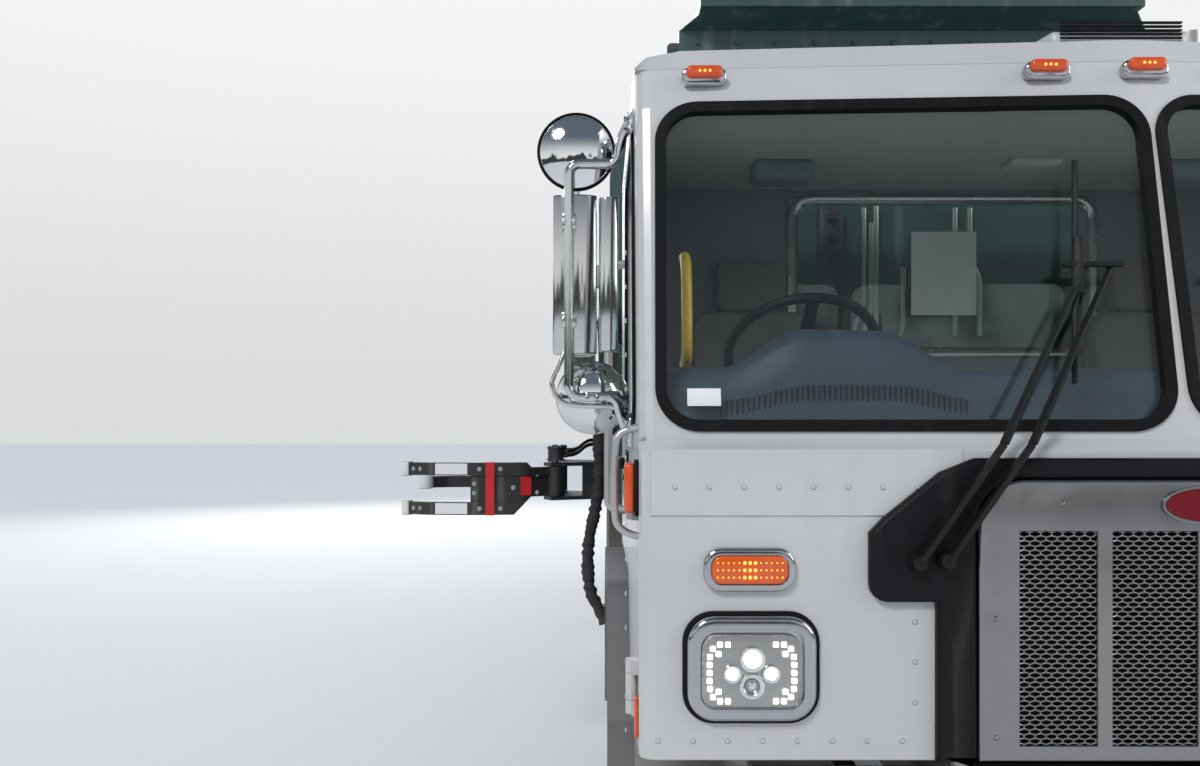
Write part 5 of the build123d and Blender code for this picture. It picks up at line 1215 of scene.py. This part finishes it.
# Hood over the cab: bolts along the front edge of its green steel, and two at each end where a
# tab holds its side.
canopy_bolts = bmesh.new()
for way in (-1, 1):
    for height in (3.265, 3.320):
        bolt(canopy_bolts, here(way * 0.981, 1.900, height), street, 0.011)
for number in range(12):
    bolt(canopy_bolts, here(-0.88 + number * 0.16, 1.900, 3.345), street, 0.008)
finished("canopy_bolts", canopy_bolts, body_green, "chassis")


# Mirrors: on each door a loop of polished stainless tube carries two tall heads with bulged
# backs, a round convex glass in a black rim above them and a bowl-shaped one below.
polished = worn_finish("polished stainless", (0.66, 0.66, 0.66), 0.07, metallic=1.0, dust=0.08,
                       streaks=0.12, wear=0.05, worn_tone=(0.6, 0.6, 0.6), edge=0.002, grain=0.01)
silvered = worn_finish("silvered glass", (0.80, 0.81, 0.82), 0.015, metallic=1.0, dust=0.05,
                       streaks=0.06, wear=0.0, edge=0.002, grain=0.0)


def spun(shape, centre, profile, front=0, back=0, steps=48):
    """A closed round shape about a line along the truck, from radii and places along it. What
    lies in front of its centre takes the front material."""
    before = set(shape.verts)
    row = [shape.verts.new((radius, along, 0)) for radius, along in profile]
    rims = [shape.edges.new(pair) for pair in zip(row, row[1:])]
    bmesh.ops.spin(shape, geom=row + rims, cent=(0, 0, 0), axis=(0, 1, 0), angle=2 * pi, steps=steps,
                   use_merge=True)
    made = fresh(shape, before)
    bmesh.ops.remove_doubles(shape, verts=made, dist=0.00002)
    made = fresh(shape, before)
    sides = sides_of(made)
    for side in sides:
        side.material_index = front if side.calc_center_median().y < 0 else back
    bmesh.ops.translate(shape, vec=centre, verts=made)
    bmesh.ops.recalc_face_normals(shape, faces=sides)


def bowed_head(shape, centre, width, low, high, depth, bulge, slot=0):
    """A tall mirror head, its side to the street bowed across its width."""
    before = set(shape.verts)
    row = [(u / 6, bulge * (u / 6) ** 2) for u in range(-6, 7)] + [(0.94, depth), (-0.94, depth)]
    base = shape.faces.new([shape.verts.new((centre[0] + u * width / 2, centre[1] + back, low))
                            for u, back in row])
    grown = bmesh.ops.extrude_face_region(shape, geom=[base])["geom"]
    bmesh.ops.translate(shape, vec=(0, 0, high - low), verts=only(grown, bmesh.types.BMVert))
    made = fresh(shape, before)
    bmesh.ops.recalc_face_normals(shape, faces=sides_of(made))
    rims = [rim for rim in rims_of(made)
            if len(rim.link_faces) == 2 and rim.calc_face_angle() > radians(40)]
    rounded(shape, rims, 0.005, 3)
    for side in sides_of(fresh(shape, before)):
        side.material_index = slot


# Columns: out from the truck's middle, back from its front panel, up from the road.
mirror_loop_run = ((1.209, 0.352, 2.528), (1.228, 0.370, 2.500), (1.236, 0.386, 2.4375),
                   (1.290, 0.386, 2.4375), (1.359, 0.386, 2.4375), (1.359, 0.386, 2.372),
                   (1.359, 0.386, 1.908), (1.359, 0.386, 1.844), (1.290, 0.386, 1.844),
                   (1.238, 0.388, 1.844), (1.228, 0.400, 1.795), (1.209, 0.415, 1.752))
mirror_brace_run = ((1.372, 0.412, 1.960), (1.385, 0.405, 1.925), (1.408, 0.402, 1.880),
                    (1.385, 0.402, 1.826), (1.300, 0.402, 1.820), (1.236, 0.402, 1.822),
                    (1.222, 0.412, 1.780), (1.209, 0.428, 1.760))
# Columns: a round glass's radius and its place along the truck.
convex_glass = ((0.0, -0.024), (0.025, -0.0225), (0.050, -0.018), (0.075, -0.010), (0.097, 0.0),
                (0.092, 0.007), (0.070, 0.022), (0.030, 0.037), (0.0, 0.040))
convex_rim = ((0.094, -0.003), (0.098, -0.006), (0.1015, -0.003), (0.1015, 0.004), (0.098, 0.008),
              (0.094, 0.005), (0.094, -0.003))
bowl_glass = ((0.0, -0.062), (0.030, -0.059), (0.055, -0.050), (0.075, -0.036), (0.088, -0.017),
              (0.093, 0.0), (0.097, 0.003), (0.094, 0.010), (0.060, 0.013), (0.0, 0.014))
# Columns: a flat glass's width, its place out from the middle, its foot and its head.
flat_glasses = ((0.103, 1.3450, 1.967, 2.354), (0.044, 1.2580, 1.971, 2.351))
glass_back = 0.4502
for side, way in both_sides:
    door = f"door_{side}"

    def at(reach, along, up):
        """A point out from the middle on this side."""
        return here(way * reach, along, up)

    loop = rail(f"mirror_loop_{side}", [at(*point) for point in mirror_loop_run], 0.0125, polished,
                door, 60, 14)
    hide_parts(f"mirrors_{side}")
    rail(f"mirror_brace_{side}", [at(*point) for point in mirror_brace_run], 0.0065, polished, door,
         60, 14)
    heads = bmesh.new()
    bowed_head(heads, at(1.3450, 0.404, 0), 0.115, 1.955, 2.366, 0.046, 0.016)
    bowed_head(heads, at(1.2580, 0.408, 0), 0.052, 1.962, 2.360, 0.042, 0.010)
    spun(heads, at(1.3415, 0.430, 2.480), convex_glass, 1, 0)
    spun(heads, at(1.3415, 0.430, 2.480), convex_rim, 2, 2)
    spun(heads, at(1.300, 0.468, 1.845), bowl_glass, 1, 0)
    for width, reach, low, high in flat_glasses:
        before = set(heads.verts)
        slab(heads, at(reach - width / 2, glass_back - 0.004, low),
             at(reach + width / 2, glass_back + 0.0012, high), 0.001, 1)
        for patch in sides_of(fresh(heads, before)):
            patch.material_index = 1
    finished(f"mirror_heads_{side}", heads, [polished, silvered, rubber_black], door, 30)
    clamps = bmesh.new()
    for low, high, start, end in ((2.270, 2.310, 0.378, 0.408), (2.020, 2.060, 0.378, 0.408),
                                  (1.832, 1.856, 0.376, 0.410)):
        reach = 1.359 if low > 1.9 else 1.300
        slab(clamps, at(reach - 0.019, start, low), at(reach + 0.019, end, high), 0.004, 2)
        for shift in (-0.012, 0.012):
            bolt(clamps, at(reach + shift, start, (low + high) / 2), street, 0.0045, 0.004)
    for low, high, start, end in ((2.500, 2.556, 0.312, 0.394), (1.716, 1.790, 0.372, 0.468)):
        slab(clamps, at(1.1945, start, low), at(1.207, end, high), 0.004, 2)
        for along in (start + 0.014, end - 0.014):
            for up in (low + 0.013, high - 0.013):
                bolt(clamps, at(1.207, along, up), (way, 0, 0), 0.006, 0.005)
    for up, along in ((2.528, 0.352), (1.756, 0.415), (1.764, 0.432)):
        stub(clamps, at(1.213, along, up), turned("Y", 90), 24, 0.019, 0.017, 0.016)
    for low, high in (((1.300, 0.462, 1.925), (1.356, 0.472, 1.975)),
                      ((1.280, 0.446, 2.130), (1.300, 0.456, 2.190)),
                      ((1.3335, 0.430, 2.358), (1.3495, 0.446, 2.400)),
                      ((1.292, 0.440, 1.915), (1.308, 0.470, 1.965))):
        slab(clamps, at(*low), at(*high), 0.003, 1)
    finished(f"mirror_clamps_{side}", clamps, polished, door, 30)


# Dashboard: one soft-skinned moulding under both screens, with a broad hood over each driver's
# dials, a row of vent slots along the glass and a dull finish that keeps glare off the screen.
dash_skin = worn_finish("dashboard skin", (0.017, 0.024, 0.040), 0.5, dust=0.04, streaks=0.0,
                        wear=0.1, worn_tone=(0.06, 0.065, 0.075), edge=0.006, grain=0.25, shine=0.25)
dash_run = ((0.0, 0.129, 1.742), (0.14, 0.150, 1.850), (0.26, 0.180, 1.886), (0.40, 0.235, 1.897),
            (0.62, 0.330, 1.893), (0.78, 0.410, 1.862), (0.90, 0.446, 1.790), (1.0, 0.458, 1.640))
dash_half = 1.150
dash_foot = 1.502
hood_reach = 0.699


def dash_point(reach, run):
    """The moulding's surface: out from the middle by reach, from the glass 0 to the seats 1."""
    for (start, y0, z0), (end, y1, z1) in zip(dash_run, dash_run[1:]):
        if start <= run <= end:
            part = (run - start) / (end - start)
            along, up = y0 + (y1 - y0) * part, z0 + (z1 - z0) * part
            break
    rise = max(0.0, min(1.0, (0.300 - abs(abs(reach) - hood_reach)) / 0.210))
    rise = rise * rise * (3 - 2 * rise)
    crown = max(0.0, min(1.0, run / 0.42)) * max(0.0, min(1.0, (1.02 - run) / 0.30))
    swell = 0.013 * cos(pi * reach / dash_half) ** 2
    return along, up + 0.100 * rise * crown * (2 - crown) + swell * crown


dash = bmesh.new()
bmesh.ops.create_grid(dash, x_segments=150, y_segments=40, size=1)
for corner in dash.verts:
    reach = corner.co.x * dash_half
    along, up = dash_point(reach, max(0.0, min(1.0, (corner.co.y + 1) / 2)))
    corner.co = here(reach, along, up)
border = [rim for rim in dash.edges if rim.is_boundary]
grown = bmesh.ops.extrude_edge_only(dash, edges=border)["geom"]
for corner in only(grown, bmesh.types.BMVert):
    corner.co.z = dash_foot
bmesh.ops.holes_fill(dash, edges=[rim for rim in dash.edges if rim.is_boundary], sides=0)
bmesh.ops.recalc_face_normals(dash, faces=dash.faces)
dash_piece = finished("dashboard_moulding", dash, dash_skin, "cab", 50)
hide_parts("dashboard")
vents = bmesh.new()
for way in (-1, 1):
    for number in range(46):
        reach = way * (0.44 + number * 0.0125)
        along, up = dash_point(reach, 0.085)
        slab(vents, here(reach - 0.0025, along - 0.004, up - 0.018),
             here(reach + 0.0025, along + 0.004, up + 0.018), 0.001, 1)
finished("dashboard_vents", vents, rubber_black, "cab")


# Papers and dials in the cab: a blank card taped inside the rear window, a blank sticker low on
# the screen, and a dark plastic dial panel under each hood.
card_white = worn_finish("blank card", (0.74, 0.74, 0.72), 0.7, dust=0.1, streaks=0.1, wear=0.0,
                         edge=0.001, grain=0.1)
card = bmesh.new()
slab(card, here(-0.118, 1.548, 2.188), here(0.125, 1.5495, 2.500), 0.0005, 1)
finished("blank_card", card, card_white, "cab")
sticker = bmesh.new()
arm_between(sticker, over_screen(-1.045, 1.814, -0.021), over_screen(-1.045, 1.854, -0.021), 0.076,
            0.076, 0.0012)
finished("blank_sticker", sticker, card_white, "cab")
dials = bmesh.new()
for way in (-1, 1):
    slab(dials, here(way * hood_reach - 0.170, 0.432, 1.800),
         here(way * hood_reach + 0.170, 0.462, 1.905), 0.010, 2)
finished("dial_panels", dials, cowl_black, "cab")


# Behind the rear window, on the wall of the body: the arm's valve bank with its row of caps, and
# bright steel pipes that climb from it.
pipe_steel = worn_finish("plated pipe", (0.55, 0.54, 0.52), 0.25, metallic=1.0, dust=0.3,
                         streaks=0.2, wear=0.1, edge=0.001, grain=0.02)
wall = 1.899
# Columns: a block's edges across, its foot and its head.
valve_blocks = ((-0.395, -0.300, 1.93, 2.66), (0.060, 0.330, 1.98, 2.14), (-0.02, 0.02, 2.25, 2.34))
# Columns: where a pipe starts across, where it goes on after its jog, its foot and its head.
wall_pipes = ((-0.250, -0.210, 1.80, 2.66), (-0.215, -0.180, 1.80, 2.60),
              (-0.160, -0.160, 1.80, 2.68), (-0.110, -0.050, 1.80, 2.42),
              (0.160, 0.160, 2.14, 2.66), (0.260, 0.220, 2.14, 2.66))
valves = bmesh.new()
for left, right, low, high in valve_blocks:
    slab(valves, here(left, wall - 0.060, low), here(right, wall - 0.002, high), 0.006, 2)
for number in range(9):
    bolt(valves, here(-0.348, wall - 0.060, 1.975 + number * 0.080), street, 0.018, 0.030)
for number in range(4):
    bolt(valves, here(0.100 + number * 0.063, wall - 0.060, 2.06), street, 0.016, 0.034)
finished("valve_bank", valves, chassis_black, "chassis")
for number, (start, jog, low, high) in enumerate(wall_pipes):
    bend = low + (high - low) * 0.45
    pipe_run = ((start, low), (start, bend - 0.06), (start, bend), (jog, bend + 0.08),
                (jog, bend + 0.14), (jog, high))
    rail(f"wall_pipe_{number}", [here(across, wall - 0.030, up) for across, up in pipe_run], 0.011,
         pipe_steel, "chassis")


# Cab sides: a rubber bead round each door window, a black pull handle with its lock, rivet rows
# down the rear edge and a tall grab rail behind the door.
bead_outline = ((0.194, 1.772), (0.970, 1.772), (0.970, 2.520), (0.331, 2.520))
# Columns: out from the wall and up.
grab_run = ((0, 1.500), (0.058, 1.500), (0.058, 1.560), (0.058, 2.240), (0.058, 2.300), (0, 2.300))


def side_ring(shape, outline, reach, way, band, corner, rise):
    """A flat ring just inside an outline on a side wall, standing out from it."""
    before = set(shape.verts)
    points = [shape.verts.new(here(way * reach, along, up)) for along, up in outline]
    shape.faces.new(points)
    rounded(shape, points, corner, 6, "VERTICES")
    panel = sides_of(fresh(shape, before))[0]
    ring = bmesh.ops.inset_region(shape, faces=[panel], thickness=band, use_boundary=True,
                                  use_even_offset=True)["faces"]
    bmesh.ops.delete(shape, geom=[panel], context="FACES_ONLY")
    grown = bmesh.ops.extrude_face_region(shape, geom=ring)["geom"]
    bmesh.ops.translate(shape, vec=(way * rise, 0, 0), verts=only(grown, bmesh.types.BMVert))
    bmesh.ops.recalc_face_normals(shape, faces=sides_of(fresh(shape, before)))


for side, way in both_sides:
    bead = bmesh.new()
    side_ring(bead, bead_outline, cab_half - 0.002, way, 0.030, 0.092, 0.010)
    finished(f"door_window_bead_{side}", bead, rubber_black, f"door_{side}", 40)
    pull = bmesh.new()
    slab(pull, on_wall(way, -0.001, 0.805, 1.625), on_wall(way, 0.006, 0.985, 1.698), 0.006, 3)
    slab(pull, on_wall(way, 0.010, 0.826, 1.643), on_wall(way, 0.028, 0.964, 1.677), 0.006, 3)
    bolt(pull, on_wall(way, 0.006, 0.972, 1.612), (way, 0, 0), 0.009, 0.008)
    finished(f"door_handle_{side}", pull, cowl_black, f"door_{side}")
    side_rivets = bmesh.new()
    for number in range(17):
        rivet_head(side_rivets, on_wall(way, 0, 1.552, 1.36 + number * 0.075), (way, 0, 0))
    for number in range(7):
        rivet_head(side_rivets, on_wall(way, 0, 1.06 + number * 0.075, 2.615), (way, 0, 0))
    finished(f"cab_side_rivets_{side}", side_rivets, cab_white, "cab")
    rail(f"side_grab_rail_{side}", [on_wall(way, out, 1.085, up) for out, up in grab_run], 0.014,
         rail_steel, "cab")


# Steps: cast aluminium treads, screwed into the step wells. Short raised bars stand crosswise on
# them, so that a wet boot grips.
bars = bmesh.new()
for way in (-1, 1):
    for tread in (0.460, 0.760):
        for row in range(6):
            for number in range(11):
                before = set(bars.verts)
                slab(bars, (-0.012, -0.0028, 0), (0.012, 0.0028, 0.0035))
                made = fresh(bars, before)
                slant = turned("Z", 45 if (row + number) % 2 else -45)
                bmesh.ops.rotate(bars, matrix=slant, verts=made)
                along = 0.165 + number * 0.036 + 0.018 * (row % 2)
                bmesh.ops.translate(bars, vec=here(way * (0.965 + row * 0.037), along, tread - 0.0005),
                                    verts=made)
finished("step_bars", bars, step_metal, "chassis")


# Body markings: strips of red and white reflecting tape low on each side and up the gate, with
# amber and red plastic marker lamps on the ribs and bolts in the gate's steel.
body_front = 3.900
body_back = 9.200
rib_step = (body_back - body_front - 0.080) / 7
tapes = {"red": bmesh.new(), "white": bmesh.new()}
markers = {"amber": bmesh.new(), "red": bmesh.new()}
for way in (-1, 1):
    for bay in range(7):
        for number, tone in enumerate(("red", "white")):
            start = body_front + bay * rib_step + 0.095 + number * 0.320
            slab(tapes[tone], here(way * 1.1915, start, 1.430),
                 here(way * 1.1935, start + 0.310, 1.482), 0.0005, 1)
    for rib, tone in ((0, "amber"), (3, "amber"), (7, "red")):
        along = body_front + rib * rib_step + 0.040
        slab(markers[tone], here(way * 1.2195, along - 0.036, 1.425),
             here(way * 1.226, along + 0.036, 1.475), 0.003, 1)
        slab(markers[tone], here(way * 1.225, along - 0.030, 1.431),
             here(way * 1.240, along + 0.030, 1.469), 0.006, 3)
for tone, shape in tapes.items():
    finished(f"side_tape_{tone}", shape, band_red if tone == "red" else patch_white, "chassis")
for tone, shape in markers.items():
    finished(f"body_markers_{tone}", shape, marker_lens if tone == "amber" else red_lens, "chassis")
gate_back = 9.760
gate_tapes = {"red": bmesh.new(), "white": bmesh.new()}
for way in (-1, 1):
    for low in (1.875, 2.475):
        for number, tone in enumerate(("red", "white", "red", "white")):
            foot = low + number * 0.126
            slab(gate_tapes[tone], here(way * 1.095, gate_back - 0.001, foot),
                 here(way * 1.147, gate_back + 0.0015, foot + 0.120), 0.0005, 1)
for tone, shape in gate_tapes.items():
    finished(f"gate_tape_{tone}", shape, band_red if tone == "red" else patch_white, "tailgate")
gate_fittings = bmesh.new()
for way in (-1, 1):
    for height in (1.83, 2.43, 3.03):
        for reach in (0.74, 1.06):
            bolt(gate_fittings, here(way * reach, gate_back + 0.022, height), (0, 1, 0), 0.010)
    for along, up in ((0.075, 3.735), (0.020, 3.700)):
        bolt(gate_fittings, here(way * 0.665, body_back + along, up), (way, 0, 0), 0.012, 0.010)
finished("gate_bolts", gate_fittings, body_green, "tailgate")


# Tail lamps: three round units on each side of the rear bar, each a ribbed lens in a rubber
# grommet, the innermost white for reversing, and a blank number plate between them.
lens_white = worn_finish("white lens", (0.70, 0.70, 0.70), 0.12, coat=0.6, dust=0.25, streaks=0.1,
                         wear=0.0, edge=0.001, grain=0.0)
# Columns: a round unit's radius and its place back from the bar.
grommet = ((0.0, -0.002), (0.056, -0.002), (0.056, 0.010), (0.052, 0.014), (0.047, 0.014),
           (0.045, 0.006), (0.0, 0.006))
ribbed_lens = ((0.0, 0.004), (0.044, 0.004), (0.044, 0.016), (0.040, 0.0195), (0.036, 0.0185),
               (0.032, 0.021), (0.027, 0.0195), (0.022, 0.0220), (0.017, 0.0205), (0.012, 0.0225),
               (0.006, 0.0215), (0.0, 0.0230))
tail_units = bmesh.new()
bar_back = 9.210
for way in (-1, 1):
    for number in range(3):
        spot = here(way * (1.120 - 0.115 * number), bar_back, 0.830)
        spun(tail_units, spot, grommet, 1, 1)
        tone = 2 if number == 2 else 0
        spun(tail_units, spot, ribbed_lens, tone, tone)
tail_piece = finished("tail_lamp_units", tail_units, [red_lens, rubber_black, lens_white], "chassis",
                      30)
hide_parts("tail_lamps")
plate = bmesh.new()
slab(plate, here(-0.155, bar_back, 0.768), here(0.155, bar_back + 0.003, 0.892), 0.0015, 1)
for reach in (-0.115, 0.115):
    for height in (0.780, 0.880):
        bolt(plate, here(reach, bar_back + 0.003, height), (0, 1, 0), 0.005, 0.004)
finished("blank_number_plate", plate, patch_white, "chassis")


# Tanks: a ribbed filler cap on the fuel tank, a breather and a sight glass on the oil tank, and
# nuts on the straps.
tank_fittings = bmesh.new()
stub(tank_fittings, here(0.960, 2.400, 1.052), Matrix.Identity(3), 40, 0.055, 0.052, 0.030)
for number in range(10):
    angle = 2 * pi * number / 10
    spot = Vector(here(0.960 + 0.053 * cos(angle), 2.400 + 0.053 * sin(angle), 1.052))
    half = Vector((0.005, 0.005, 0.014))
    slab(tank_fittings, spot - half, spot + half, 0.002, 1)
bolt(tank_fittings, here(-0.780, 3.760, 1.010), (0, 0, 1), 0.034, 0.050)
for along in (3.64, 4.03):
    bolt(tank_fittings, here(-1.080, along + 0.025, 0.900), (-1, 0, 0), 0.011, 0.014)
for height in (0.66, 0.84):
    bolt(tank_fittings, here(-1.080, 3.860, height), (-1, 0, 0), 0.016, 0.016)
finished("tank_fittings", tank_fittings, cowl_black, "chassis")
sight = bmesh.new()
slab(sight, here(-1.092, 3.848, 0.672), here(-1.079, 3.872, 0.828), 0.004, 2)
finished("oil_sight_glass", sight, lens_white, "chassis")


# Hubs: an oil filled aluminium cap with its bolts on each front hub, and a studded flange of cast
# iron on each rear one.
# Columns: axle, where its hub ends across, the cap's radius, its studs.
for axle, reach, radius, studs in (("front", 1.195, 0.075, 6), ("middle", 1.164, 0.090, 8),
                                   ("rear", 1.164, 0.090, 8)):
    along = axle_places[axle]
    for side, way in both_sides:
        hub = bmesh.new()
        for start, end, wide in ((-0.004, 0.010, radius), (0.008, 0.020, radius * 0.70)):
            stub(hub, here(way * (reach + (start + end) / 2), along, tyre_radius),
                 turned("Y", 90 * way), 36, wide, wide * 0.94, end - start)
        for number in range(studs):
            angle = 2 * pi * number / studs
            bolt(hub, here(way * (reach + 0.009), along + radius * 0.82 * cos(angle),
                           tyre_radius + radius * 0.82 * sin(angle)), (way, 0, 0), 0.0075, 0.008)
        finished(f"{axle}_hub_cap_{side}", hub, step_metal if axle == "front" else cast_black,
                 wheel_body(axle, side))
